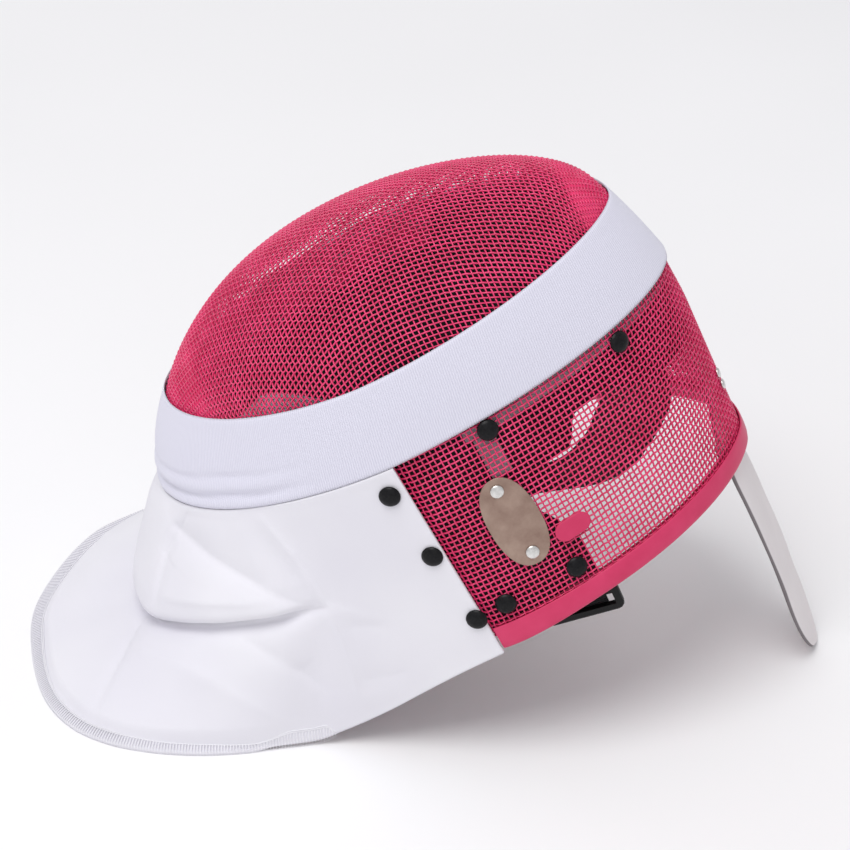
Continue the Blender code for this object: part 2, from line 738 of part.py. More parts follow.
def make_tongue(material, collection):
    """A padded strip with a round tip: its root follows the inside of the crown."""
    end_n = TONGUE_PATH[-1][1]
    depths = (TONGUE_ROOT_N, 128.0, 142.0, 150.0, 158.0, 166.0, 176.0, 196.0, 216.0, 236.0, 256.0, 276.0,
              end_n - TONGUE_TIP, end_n - 0.6 * TONGUE_TIP, end_n - 0.33 * TONGUE_TIP,
              end_n - 0.15 * TONGUE_TIP, end_n - 0.04 * TONGUE_TIP, end_n)
    sections = []
    for n in depths:
        half = TONGUE_ROOT_HALF_WIDTH
        half += (TONGUE_HALF_WIDTH - TONGUE_ROOT_HALF_WIDTH) * smooth(120.0, 156.0, n)
        if n > end_n - TONGUE_TIP:
            past = (n - end_n + TONGUE_TIP) / TONGUE_TIP
            half *= 0.1 + 0.9 * math.sqrt(1.0 - past * past)
        free = smooth(136.0, 164.0, n)
        lean = TONGUE_LEAN * max((n - 172.0) / 140.0, 0.0) ** 1.3
        outer = []
        inner = []
        for i in range(7):
            across = -1.0 + i / 3.0
            s = half * across
            wall = wall_inside_t(abs(s), n) - 0.5
            flat = tongue_middle(max(n, TONGUE_PATH[0][1])) + TONGUE_THICKNESS / 2.0
            t = wall + (min(flat, wall) - wall) * free if n < 172.0 else flat
            edge = TONGUE_THICKNESS * 0.5 * (1.0 - math.sqrt(max(1.0 - across ** 6, 0.0)))
            outer.append(to_world(t - edge * 0.9, s - lean, n))
            inner.append(to_world(t - TONGUE_THICKNESS + edge * 0.9, s - lean, n))
        sections.append(outer + list(reversed(inner)))
    return add_loft("tongue", sections, material, collection)


def wall_inside_t(s, n):
    """The t of the wire wall's inner side near the crown, at a distance s from the middle."""
    depth = min(n, rim_depth(0.0))
    low, high = 0.0, math.radians(60.0)
    inwards = WIRE_WALL if n < rim_depth(0.0) - 6.0 else WIRE_WALL + 2.1
    for _ in range(40):
        middle = (low + high) / 2.0
        if wire_point(middle, depth, inwards)[1] < s:
            low = middle
        else:
            high = middle
    return wire_point(low, depth, inwards)[0]


def make_crown_rivets(material, collection):
    for number, depth in ((1, 123.5), (2, 131.0)):
        out, along, _ = outward_frame(0.0, depth)
        place = to_world(*wire_point(0.0, depth)) + out * (0.35 * MM)
        rivet = turned_cap(f"crown_rivet_{number}", RIVET_RADIUS, RIVET_HEIGHT, 10, material, collection)
        rivet.matrix_world = placed_matrix(place, out, along)


def ribbon(name, stations, thickness, material, collection):
    """A flat strap through stations, each a pair of edge points and a thickness direction."""
    sections = []
    for first, second, out in stations:
        half = out.normalized() * (thickness / 2.0 * MM)
        sections.append([first + half, second + half, second - half, first - half])
    return add_loft(name, sections, material, collection, 60.0)


def make_buckle(material, collection):
    """A rectangular slide with a middle bar, hanging inside the near rim."""
    length, height, thickness = BUCKLE_SIZE
    slot_length = length - 2.0 * BUCKLE_BAR
    slot_height = (height - 3.0 * BUCKLE_BAR) / 2.0
    centre = to_world(BUCKLE_T, BUCKLE_S, BUCKLE_N)
    along = Vector((math.cos(BUCKLE_TILT), 0.0, math.sin(BUCKLE_TILT)))
    out = Vector((0.0, -1.0, 0.0))
    frame = placed_matrix(centre, out, along)

    def block(size, offset):
        bpy.ops.mesh.primitive_cube_add(size=1.0)
        item = bpy.context.active_object
        item.data.transform(scale_matrix(size))
        item.data.transform(shift_matrix(offset))
        item.matrix_world = frame
        return item

    body = block((length, height, thickness), (0.0, 0.0, 0.0))
    body.name = "strap_buckle"
    body.data.name = "strap_buckle"
    body.data.materials.append(material)
    move_to(body, collection)
    shape = bmesh.new()
    shape.from_mesh(body.data)
    corners = [edge for edge in shape.edges if edge.verts[0].co.z * edge.verts[1].co.z < 0.0]
    bmesh.ops.bevel(shape, geom=corners, offset=BUCKLE_CORNER * MM, segments=3, profile=0.5, affect="EDGES")
    shape.to_mesh(body.data)
    shape.free()
    edge = body.modifiers.new("edge", "BEVEL")
    edge.width = 1.2 * MM
    edge.segments = 2
    edge.limit_method = "ANGLE"
    edge.angle_limit = math.radians(60.0)
    cutters = bpy.data.collections["cutters"]
    for number, sign in ((1, 1.0), (2, -1.0)):
        shift = sign * (slot_height + BUCKLE_BAR) / 2.0
        cutter = block((slot_length, slot_height, thickness * 3.0), (0.0, shift, 0.0))
        cutter.name = f"buckle_slot_{number}"
        cutter.hide_render = True
        cutter.display_type = "WIRE"
        move_to(cutter, cutters)
        cut = body.modifiers.new(f"slot_{number}", "BOOLEAN")
        cut.operation = "DIFFERENCE"
        cut.solver = "EXACT"
        cut.object = cutter
    return body


def scale_matrix(size):
    return Matrix.Diagonal((size[0] * MM, size[1] * MM, size[2] * MM, 1.0))


def shift_matrix(offset):
    return Matrix.Translation(Vector(offset) * MM)


def move_to(item, collection):
    for old in list(item.users_collection):
        old.objects.unlink(item)
    collection.objects.link(item)


# The rear strap's edges from the lining behind the plate to the far wall. Columns: crown side edge (t, s, n),
# chin side edge (t, s, n)
STRAP_EDGES = (
    (48.5, 87.0, 105.0, 29.5, 93.5, 88.0),
    (52.4, 77.0, 112.7, 38.0, 86.0, 91.0),
    (57.4, 64.0, 122.5, 49.5, 75.5, 95.5),
    (64.9, 48.0, 134.8, 59.5, 60.0, 105.0),
    (72.2, 31.0, 145.3, 64.0, 41.0, 113.0),
    (81.1, 12.0, 152.6, 69.2, 18.0, 118.3),
    (90.3, -10.0, 154.6, 69.5, -8.0, 123.2),
    (96.8, -32.0, 155.8, 69.0, -34.0, 129.2),
    (100.0, -52.0, 156.0, 68.5, -57.0, 134.5),
)
STRAP_FAR_DEG = (43.0, 60.0)
STRAP_FAR_N = 150.0
# The webbing that carries the buckle, down the inside of the lining. Columns: crown side edge (degrees, n),
# chin side edge (degrees, n)
ANCHOR_EDGES = (
    (67.0, 107.0, 78.5, 102.0),
    (61.2, 131.0, 77.0, 128.0),
    (60.4, 150.0, 76.0, 146.0),
)
ANCHOR_BAR_T = 61.0
ANCHOR_THICKNESS = 1.5


def strap_station(first, second, before, after):
    """Both edges of a strap at one place and the direction through its thickness."""
    return first, second, (first - second).cross(after - before)


def make_rear_strap(material, collection):
    """An elastic that hangs across the opening from the near lining to the far wall."""
    crown = [to_world(*row[0:3]) for row in STRAP_EDGES]
    chin = [to_world(*row[3:6]) for row in STRAP_EDGES]
    inwards = WIRE_WALL + STRAP_THICKNESS / 2.0 + 0.25
    crown.append(to_world(*wire_point(-math.radians(STRAP_FAR_DEG[0]), STRAP_FAR_N, inwards)))
    chin.append(to_world(*wire_point(-math.radians(STRAP_FAR_DEG[1]), STRAP_FAR_N, inwards)))
    stations = []
    for i in range(len(crown)):
        j = max(i - 1, 0)
        k = min(i + 1, len(crown) - 1)
        stations.append(strap_station(crown[i], chin[i], crown[j] + chin[j], crown[k] + chin[k]))
    return ribbon("rear_strap", stations, STRAP_THICKNESS, material, collection)


def make_strap_anchor(material, collection):
    """The webbing that carries the buckle, from the end of the strap to the upper bar."""
    inwards = WIRE_WALL + LINING_GAP + LINING_THICKNESS + 0.8 + ANCHOR_THICKNESS / 2.0
    edges = []
    for crown_degrees, crown_n, chin_degrees, chin_n in ANCHOR_EDGES:
        edges.append([wire_point(math.radians(crown_degrees), crown_n, inwards),
                      wire_point(math.radians(chin_degrees), chin_n, inwards)])
    bar_s = BUCKLE_S + (BUCKLE_SIZE[2] + ANCHOR_THICKNESS) / 2.0 + 1.4
    bar_n = BUCKLE_N - BUCKLE_SIZE[1] / 2.0 + BUCKLE_BAR
    edges.append([(ANCHOR_BAR_T, bar_s, bar_n), (edges[-1][1][0], bar_s, bar_n)])
    edges = [[to_world(*place) for place in row] for row in edges]
    stations = []
    for i, (first, second) in enumerate(edges):
        before = edges[max(i - 1, 0)]
        after = edges[min(i + 1, len(edges) - 1)]
        stations.append(strap_station(first, second, before[0] + before[1], after[0] + after[1]))
    return ribbon("strap_anchor", stations, ANCHOR_THICKNESS, material, collection)


def main():
    clear_scene()
    mask = bpy.data.collections.new("fencing_mask")
    cutters = bpy.data.collections.new("cutters")
    bpy.context.scene.collection.children.link(mask)
    bpy.context.scene.collection.children.link(cutters)

    wire = new_material("painted_wire", (0.62, 0.03, 0.13), 0.45, 0.3)
    webbing = new_material("white_webbing", (0.8, 0.79, 0.86), 0.85)
    binding = new_material("pink_binding", (0.62, 0.035, 0.14), 0.45)
    cloth = new_material("white_cloth", (0.86, 0.85, 0.88), 0.9)
    snap = new_material("black_snap", (0.012, 0.012, 0.013), 0.3)
    bronze = new_material("bronze_plate", (0.35, 0.27, 0.22), 0.4, 0.9)
    steel = new_material("rivet_steel", (0.62, 0.61, 0.6), 0.3, 1.0)
    dark = new_material("black_lining", (0.012, 0.012, 0.014), 0.95)
    grey = new_material("grey_edging", (0.4, 0.4, 0.42), 0.9)
    cover = new_material("tongue_cover", (0.78, 0.75, 0.76), 0.6)
    elastic = new_material("black_elastic", (0.015, 0.015, 0.016), 0.9)
    plastic = new_material("black_plastic", (0.012, 0.012, 0.012), 0.4)

    make_face_mesh(wire, mask)
    make_side_mesh(wire, mask)
    make_trim_band(webbing, mask)
    make_rim_binding(binding, mask)
    make_bib(cloth, mask)
    make_bib_snaps(snap, mask)
    make_mesh_snaps(snap, mask)
    make_id_plate(bronze, steel, mask)
    make_strap_tab(binding, mask)
    make_lining(dark, mask)
    make_lining_trims(grey, mask)
    make_tongue(cover, mask)
    make_crown_rivets(steel, mask)
    make_buckle(plastic, mask)
    make_rear_strap(elastic, mask)
    make_strap_anchor(elastic, mask)


if __name__ == "__main__":
    main()
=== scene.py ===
"""The dressed fencing mask: woven wire, ribbed webbing, padded bib, lining, straps and small metal parts.

Lengths are in millimetres in the mask's own frame until world() turns them into the frame's metres:
t runs from the chin to the crown, s towards the wearer's left, n from the face towards the back opening.
"""
import math

import bmesh
import bpy
import numpy as np
from mathutils import Matrix, Vector

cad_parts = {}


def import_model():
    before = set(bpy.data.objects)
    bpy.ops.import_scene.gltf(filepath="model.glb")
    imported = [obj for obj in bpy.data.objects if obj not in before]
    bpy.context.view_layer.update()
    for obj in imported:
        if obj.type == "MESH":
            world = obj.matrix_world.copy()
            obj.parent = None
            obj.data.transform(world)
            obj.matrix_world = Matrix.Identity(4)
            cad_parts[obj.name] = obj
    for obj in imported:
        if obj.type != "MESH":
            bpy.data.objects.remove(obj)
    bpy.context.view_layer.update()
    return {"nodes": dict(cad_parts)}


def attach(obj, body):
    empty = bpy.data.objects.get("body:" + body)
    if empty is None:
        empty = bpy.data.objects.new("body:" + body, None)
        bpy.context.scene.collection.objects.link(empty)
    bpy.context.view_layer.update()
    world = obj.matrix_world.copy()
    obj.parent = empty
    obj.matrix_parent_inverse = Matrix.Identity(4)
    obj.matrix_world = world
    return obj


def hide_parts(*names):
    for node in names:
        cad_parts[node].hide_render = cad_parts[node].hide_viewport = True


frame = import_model()

MM = 0.001
FACE_TILT = math.radians(28.0)
FACE_CENTRE = np.array([-23.3, 7.8, 222.8])

OVAL_HALF_LENGTH = 141.0
OVAL_HALF_WIDTH = 103.5
OVAL_POWER = 1.74
OVAL_CHIN_FULLNESS = -0.05
DOME_HEIGHT = 53.4
DOME_TOP_T = 7.8
DOME_CHIN_POWERS = (2.63, 1.07)
DOME_CROWN_POWERS = (1.85, 2.19)
DOME_CROSS_POWERS = (1.69, 1.59)
BAND_DEPTH = 46.4
BAND_THICKNESS = 1.4
BAND_SPREAD = (13.9, -8.8, 6.7)
BAND_CROWN = 0.8
CHIN_CROWN = 3.4
WIRE_UNDER_BAND = 2.1
WIRE_UNDER_BIB = 1.9
WIRE_SPREAD_LIMIT = 12.0
RIM_HALF_LENGTH = 142.0
RIM_HALF_WIDTH = 118.9
RIM_CENTRE_T = 1.0
RIM_DEPTH = 156.0
RIM_CROWN_RISE = 3.5
RIM_HEIGHT = 12.4
RIM_RAISE = 0.8
RIM_SLOT_DEPTH = 8.0
RIM_END_DEG = 90.4
RIM_END_GROWTH = 1.6
RIM_LIPS = (1.1, -4.1)
CHEEK_START_DEG = 100.0
CHEEK_END_DEG = 124.0
CHIN_WALL_DEPTH = 58.0

WIRE_PITCH = 3.1
WIRE_RADIUS = 0.51
WALL_WIRE_RADIUS = 0.54
WIRE_WALL = 2.2
DOME_EDGE_LEVEL = 0.993
# The dome's wires stand askew: how far the cross wires lean towards the crown, and how far the long wires
# lean towards the wearer's left, at the chin and at the crown, through the place where they start
NET_SKEW = 0.25
NET_LEAN = (-0.36, 0.03)
NET_CENTRE_S = 30.0
# The walk over the dome that spaces its wires: step, reach along t and s, wires each way from the middle, and
# the steepest slope that it follows; then the steepest slope that the wires face
NET_STEP = 0.5
NET_REACH = (175.0, 116.0)
NET_COUNTS = (68, 58)
NET_STEEPEST = 7.0
DOME_STEEPEST = 6.0
# The depth at which the wall's wires end under the band, towards the crown and towards the bib
WALL_TOPS = (40.0, 4.0)

BIB_CLOTH = 2.3
BIB_LOWEST = 2.35
CHIN_CALM = 0.45
# The hem lies flat from this row on, and has stitches from this station on
HEM_FLAT_ROW = 1.9
HEM_START = 5.2
HEM_PITCH = 1.7
THREAD_RADIUS = 0.33
LINING_GAP = 2.2
LINING_THICKNESS = 4.0
QUILT_PITCH = 46.0
TAPE_THICKNESS = 1.0
TONGUE_LEAN = 5.3
TONGUE_HALF_WIDTH = 24.5
TONGUE_ROOT_HALF_WIDTH = 14.0
TONGUE_THICKNESS = 4.2
TONGUE_ROOT_N = 103.0
TONGUE_FREE_N = 172.0
TONGUE_TIP = 34.0
STRAP_FAR_DEG = (43.0, 60.0)
STRAP_FAR_N = 150.0
STRAP_THICKNESS = 1.8
STRAP_GAP = 0.25
ANCHOR_BAR_T = 61.0
ANCHOR_THICKNESS = 1.5
ANCHOR_GAP = 0.8
BUCKLE_SIZE = (46.0, 27.0, 4.2)
BUCKLE_PLACE = (41.9, 91.0, 173.0)
BUCKLE_TILT = math.radians(22.3)
BUCKLE_BAR = 4.2
BUCKLE_GAP = 1.4

# The snaps on the wire as (degrees, depth, lift off the wire), those on the bib as (station, row)
MESH_SNAPS = ((67.4, 53.1, 0.6), (32.0, 55.5, 0.5), (64.5, 146.5, 0.5), (83.0, 145.5, 0.5))
BIB_SNAPS = ((0.72, 0.22), (0.45, 0.89), (0.2, 1.59))
SNAP_HEAD = ((0.0, 2.75), (1.6, 2.68), (3.0, 2.42), (4.2, 1.98), (5.1, 1.4), (5.7, 0.85), (6.0, 0.35),
             (5.95, 0.05), (5.6, 0.0), (0.0, 0.0))
PLATE_T, PLATE_N = 38.6, 105.2
PLATE_HALF = (14.5, 27.6)
PLATE_POWER = 2.3
PLATE_THICKNESS = 0.8
PLATE_RIVET_HEAD = ((0.0, 1.1), (2.3, 1.08), (3.1, 0.96), (3.6, 0.7), (3.8, 0.3), (3.78, 0.05), (3.6, 0.0),
                    (0.0, 0.0))
RIVET_SPACING = 40.6
CROWN_RIVET_DEPTHS = (123.5, 131.0)
CROWN_RIVET_HEAD = ((0.0, 1.35), (1.2, 1.32), (2.2, 1.12), (2.75, 0.75), (2.95, 0.35), (2.9, 0.05),
                    (2.7, 0.0), (0.0, 0.0))
TAB_T, TAB_N = 62.6, 125.0
TAB_LENGTH = 21.0
TAB_WIDTH = 11.5
TAB_THICKNESS = 1.5

CAMERA_DISTANCE = 1800.0
CAMERA_SHIFT = (23.91, -73.52)
CAMERA_LENS = 138.0
SKY_STRENGTH = 0.63
# Name, place, target, width in metres and power in watts
LIGHTS = (("overhead", (-0.6, -1.0, 3.0), (0.0, 0.0, 0.1), 2.1, 51.0),
          ("left_key", (-1.8, -1.0, 1.6), (0.0, 0.0, 0.12), 1.2, 1.5),
          ("front_fill", (0.4, -2.4, 1.4), (0.0, 0.0, 0.12), 1.6, 3.0))


# Shapes of the mask

def world(points):
    """Points of the mask's frame (..., t s n) in millimetres as world points in metres."""
    points = np.asarray(points, dtype=float)
    t, s, n = points[..., 0], points[..., 1], points[..., 2]
    cos, sin = math.cos(FACE_TILT), math.sin(FACE_TILT)
    out = np.stack([t * cos + n * sin, -s, t * sin - n * cos], axis=-1)
    return (out + FACE_CENTRE) * MM


def smooth(low, high, value):
    share = np.clip((np.asarray(value, dtype=float) - low) / (high - low), 0.0, 1.0)
    return share * share * (3.0 - 2.0 * share)


def unit(vectors):
    return vectors / np.linalg.norm(vectors, axis=-1, keepdims=True)


def signed_power(value, power):
    return np.sign(value) * np.abs(value) ** power


def oval(theta, half_length=OVAL_HALF_LENGTH, half_width=OVAL_HALF_WIDTH, fullness=OVAL_CHIN_FULLNESS):
    across = signed_power(np.sin(theta), 2.0 / OVAL_POWER)
    return (half_length * signed_power(np.cos(theta), 2.0 / OVAL_POWER),
            half_width * across * (1.0 + fullness * np.cos(theta)))


def oval_normal(theta):
    before = oval(theta - 0.02)
    after = oval(theta + 0.02)
    dt = after[0] - before[0]
    ds = after[1] - before[1]
    length = np.hypot(dt, ds)
    return ds / length, -dt / length


def rim_depth(theta):
    return RIM_DEPTH + RIM_CROWN_RISE * np.cos(theta)


def band_spread(theta):
    base, first, second = BAND_SPREAD
    return base + first * np.cos(theta) + second * np.cos(2.0 * theta)


def shell(theta, n, offset=0.0, spread_limit=1000.0):
    """Points (..., t s n) on the outside of the mask at depth n, moved outwards by offset."""
    theta, n, offset = np.broadcast_arrays(np.asarray(theta, float), np.asarray(n, float),
                                           np.asarray(offset, float))
    spread = np.minimum(band_spread(theta), spread_limit)
    top_t, top_s = oval(theta)
    out_t, out_s = oval_normal(theta)
    reach = spread * np.minimum(n, BAND_DEPTH) / BAND_DEPTH
    t = top_t + out_t * reach
    s = top_s + out_s * reach
    share = np.maximum(n - BAND_DEPTH, 0.0) / (rim_depth(theta) - BAND_DEPTH)
    rim_t, rim_s = oval(theta, RIM_HALF_LENGTH, RIM_HALF_WIDTH, 0.0)
    t = t + (rim_t + RIM_CENTRE_T - t) * share
    s = s + (rim_s - s) * share
    return np.stack([t + out_t * offset, s + out_s * offset, n], axis=-1)


def wire_offset(theta, n):
    inset = WIRE_UNDER_BAND - 1.9 * smooth(BAND_DEPTH, 80.0, n)
    return -(inset + WIRE_UNDER_BIB * smooth(88.0, 94.0, np.abs(np.degrees(theta))))


def wire_shell(theta, n, inwards=0.0):
    return shell(theta, n, wire_offset(theta, n) - inwards, WIRE_SPREAD_LIMIT)


def wall_bottom(theta):
    degrees = np.abs(np.degrees(theta))
    full = rim_depth(theta) + RIM_SLOT_DEPTH
    return full + (CHIN_WALL_DEPTH - full) * smooth(CHEEK_START_DEG, CHEEK_END_DEG, degrees)


def wall_theta(t, n):
    low, high = 0.0, math.pi
    for _ in range(40):
        middle = (low + high) / 2.0
        if shell(middle, n)[0] > t:
            low = middle
        else:
            high = middle
    return (low + high) / 2.0


def wall_frame(theta, n):
    """World unit vectors at a place on the wire wall: outwards, along it and down it."""
    along = unit(world(wire_shell(theta - 0.03, n)) - world(wire_shell(theta + 0.03, n)))
    down = world(wire_shell(theta, n + 2.0)) - world(wire_shell(theta, n - 2.0))
    out = unit(np.cross(down, along))
    if out @ (world(wire_shell(theta, n)) - world([0.0, 0.0, n])) < 0.0:
        out = -out
    down = np.cross(along, out)
    if down[2] > 0.0:
        down = -down
    return out, along, unit(down)


def dome_rise(t, s):
    """Height of the face dome above the oval's plane."""
    chin = t < DOME_TOP_T
    share = np.where(chin, (DOME_TOP_T - t) / (OVAL_HALF_LENGTH + DOME_TOP_T),
                     (t - DOME_TOP_T) / (OVAL_HALF_LENGTH - DOME_TOP_T))
    power, root = (np.where(chin, *values) for values in zip(DOME_CHIN_POWERS, DOME_CROWN_POWERS))
    ridge = DOME_HEIGHT * np.maximum(1.0 - share ** power, 0.0) ** (1.0 / root)
    cosine = np.minimum(np.abs(t) / OVAL_HALF_LENGTH, 1.0) ** (OVAL_POWER / 2.0)
    sine = np.sqrt(np.maximum(1.0 - cosine * cosine, 0.0))
    half = OVAL_HALF_WIDTH * sine ** (2.0 / OVAL_POWER)
    half = half * (1.0 + OVAL_CHIN_FULLNESS * np.sign(t) * cosine)
    across = np.minimum(np.abs(s) / np.maximum(half, 0.001), 1.0)
    power, root = DOME_CROSS_POWERS
    return ridge * (1.0 - across ** power) ** (1.0 / root)


def oval_level(t, s):
    """How far out a place is, 1 on the face oval, and the cosine of its angle."""
    cosine = np.zeros_like(t)
    for _ in range(6):
        width = OVAL_HALF_WIDTH * (1.0 + OVAL_CHIN_FULLNESS * cosine)
        level = (np.abs(t) / OVAL_HALF_LENGTH) ** OVAL_POWER + (np.abs(s) / width) ** OVAL_POWER
        level = np.maximum(level, 1e-9) ** (1.0 / OVAL_POWER)
        cosine = np.sign(t) * np.minimum(np.abs(t) / (OVAL_HALF_LENGTH * level), 1.0) ** (OVAL_POWER / 2.0)
    return level, cosine


def dome_height(t, s):
    """The dome's height, continued past the oval's edge at the slope that it has just inside it."""
    level, _ = oval_level(t, s)
    past = np.maximum(level, DOME_EDGE_LEVEL)
    past = np.maximum(level, DOME_EDGE_LEVEL)
    drawn = np.minimum(1.0, 1.0 / np.maximum(level, 1.0))
    edge = dome_rise(t * DOME_EDGE_LEVEL / past, s * DOME_EDGE_LEVEL / past)
    inside = dome_rise(t * (DOME_EDGE_LEVEL - 0.004) / past, s * (DOME_EDGE_LEVEL - 0.004) / past)
    return np.where(level < DOME_EDGE_LEVEL, dome_rise(t * drawn, s * drawn),
                    edge - (inside - edge) / 0.004 * (past - DOME_EDGE_LEVEL))


# Mesh helpers

def run_along(points):
    """Lengths along a line of points, from its start."""
    return np.concatenate([[0.0], np.cumsum(np.linalg.norm(np.diff(points, axis=0), axis=1))])


def pairs(first, second):
    """Two arrays, broadcast, as places on a cloth."""
    return np.stack(np.broadcast_arrays(first, second), axis=-1)


def link(name, mesh, material, node_names):
    piece = bpy.data.objects.new(name, mesh)
    bpy.context.scene.collection.objects.link(piece)
    piece.data.materials.append(material)
    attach(piece, "root")
    if node_names:
        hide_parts(*node_names)
    return piece


def mesh_of(name, points, quads, uv=None):
    """A smooth mesh from points (..., 3) and quads; uv gives each point's place on the cloth."""
    mesh = bpy.data.meshes.new(name)
    points = np.asarray(points, dtype=np.float32).reshape(-1, 3)
    corners = np.asarray(quads, dtype=np.int32).ravel()
    mesh.vertices.add(len(points))
    mesh.vertices.foreach_set("co", points.ravel())
    mesh.loops.add(len(corners))
    mesh.loops.foreach_set("vertex_index", corners)
    mesh.polygons.add(len(quads))
    mesh.polygons.foreach_set("loop_start", np.arange(0, len(corners), 4, dtype=np.int32))
    mesh.update(calc_edges=True)
    if uv is not None:
        layer = mesh.uv_layers.new(name="cloth")
        layer.data.foreach_set("uv", np.asarray(uv, dtype=np.float32).reshape(-1, 2)[corners].ravel())
    mesh.shade_smooth()
    return mesh


def grid_quads(rows, columns, closed=False, looped=False):
    """Quads of a grid; closed joins its last column to the first one, and looped its last row."""
    index = np.arange(rows * columns).reshape(rows, columns)
    if looped:
        index = np.vstack([index, index[:1]])
    right = np.roll(index, -1, axis=1)
    if not closed:
        index, right = index[:, :-1], right[:, :-1]
    return np.stack([index[:-1], right[:-1], right[1:], index[1:]], axis=-1).reshape(-1, 4)


def store(shape, mesh, sharp=None):
    """Writes a shape into a mesh with its normals outwards, and shades it smooth below an angle."""
    bmesh.ops.recalc_face_normals(shape, faces=shape.faces)
    shape.to_mesh(mesh)
    shape.free()
    if sharp:
        mesh.shade_smooth()
        mesh.set_sharp_from_angle(angle=math.radians(sharp))


def tube(name, rings, uv, sharp, material, nodes):
    """A piece from rings of world points (rows, points, 3), closed round and at both ends."""
    rows, count = rings.shape[:2]
    mesh = mesh_of(name, rings, grid_quads(rows, count, True), uv)
    shape = bmesh.new()
    shape.from_mesh(mesh)
    shape.verts.ensure_lookup_table()
    for start in (0, (rows - 1) * count):
        shape.faces.new(shape.verts[start:start + count])
    store(shape, mesh, sharp)
    link(name, mesh, material, nodes)


def looped_piece(name, points, uv, material, nodes):
    """A piece from a grid of the mask's points that is closed both ways."""
    mesh = mesh_of(name, world(points), grid_quads(*points.shape[:2], True, True), uv)
    piece = link(name, mesh, material, nodes)
    shape = bmesh.new()
    shape.from_mesh(mesh)
    store(shape, mesh)
    return piece


def thicken(piece, centre, thickness):
    """Turns a sheet's faces away from a centre in the world and gives it a wall on its inside."""
    mesh = piece.data
    if sum((face.center - Vector(centre)).dot(face.normal) for face in mesh.polygons) < 0.0:
        mesh.flip_normals()
    wall = piece.modifiers.new("wall", "SOLIDIFY")
    wall.thickness = thickness * MM
    wall.offset = -1.0


def round_edges(piece, width, segments, harden=False):
    edge = piece.modifiers.new("edge", "BEVEL")
    edge.width = width * MM
    edge.segments = segments
    edge.limit_method = "ANGLE"
    edge.angle_limit = math.radians(60.0)
    edge.harden_normals = harden


def slab(name, outline, thickness, place, material, node):
    """A flat piece that stands up from its outline in millimetres."""
    shape = bmesh.new()
    face = shape.faces.new([shape.verts.new((x * MM, y * MM, 0.0)) for x, y in outline])
    lifted = bmesh.ops.extrude_face_region(shape, geom=[face])
    top = [part for part in lifted["geom"] if isinstance(part, bmesh.types.BMVert)]
    bmesh.ops.translate(shape, verts=top, vec=(0.0, 0.0, thickness * MM))
    mesh = bpy.data.meshes.new(name)
    store(shape, mesh, 50.0)
    mesh.transform(place)
    return link(name, mesh, material, [node])


def wires_mesh(name, paths, normals, radius, sides=4):
    """Round wires along many paths, joined in one mesh."""
    all_points, all_quads, offset = [], [], 0
    turn = 2.0 * np.pi * (np.arange(sides) + 0.5) / sides
    for path, normal in zip(paths, normals):
        tangent = np.gradient(path, axis=0)
        tangent /= np.maximum(np.linalg.norm(tangent, axis=1, keepdims=True), 1e-12)
        side = np.cross(tangent, normal)
        side /= np.maximum(np.linalg.norm(side, axis=1, keepdims=True), 1e-12)
        up = np.cross(side, tangent)
        ring = radius * (np.cos(turn)[:, None] * side[:, None] + np.sin(turn)[:, None] * up[:, None])
        all_points.append((path[:, None] + ring).reshape(-1, 3))
        all_quads.append(grid_quads(len(path), sides, True) + offset)
        offset += len(path) * sides
    return mesh_of(name, np.concatenate(all_points), np.concatenate(all_quads))


def placed(place, out, along):
    out = Vector(out).normalized()
    along = Vector(along)
    along = (along - out * along.dot(out)).normalized()
    third = out.cross(along)
    return Matrix(((along.x, third.x, out.x, place[0]), (along.y, third.y, out.y, place[1]),
                   (along.z, third.z, out.z, place[2]), (0.0, 0.0, 0.0, 1.0)))


def wall_seat(theta, depth, lift):
    """The placing of a small part on the wire wall, a little way off the wire."""
    out, along, _ = wall_frame(theta, depth)
    return placed(world(wire_shell(theta, depth)) + out * lift * MM, out, along)


def turned_heads(name, profile, steps, places, material, nodes):
    """One piece with a copy at each place of a head, spun from (radius, height) pairs about Z."""
    shape = bmesh.new()
    verts = [shape.verts.new((x * MM, 0.0, z * MM)) for x, z in profile]
    edges = [shape.edges.new(pair) for pair in zip(verts, verts[1:])]
    bmesh.ops.spin(shape, geom=verts + edges, cent=(0, 0, 0), axis=(0, 0, 1),
                   angle=2.0 * math.pi, steps=steps)
    bmesh.ops.remove_doubles(shape, verts=shape.verts, dist=0.00001)
    head = bpy.data.meshes.new(name)
    store(shape, head)
    total = bmesh.new()
    for place in places:
        copy = head.copy()
        copy.transform(place)
        total.from_mesh(copy)
        bpy.data.meshes.remove(copy)
    bpy.data.meshes.remove(head)
    mesh = bpy.data.meshes.new(name)
    store(total, mesh, 50.0)
    link(name, mesh, material, nodes)


# Materials

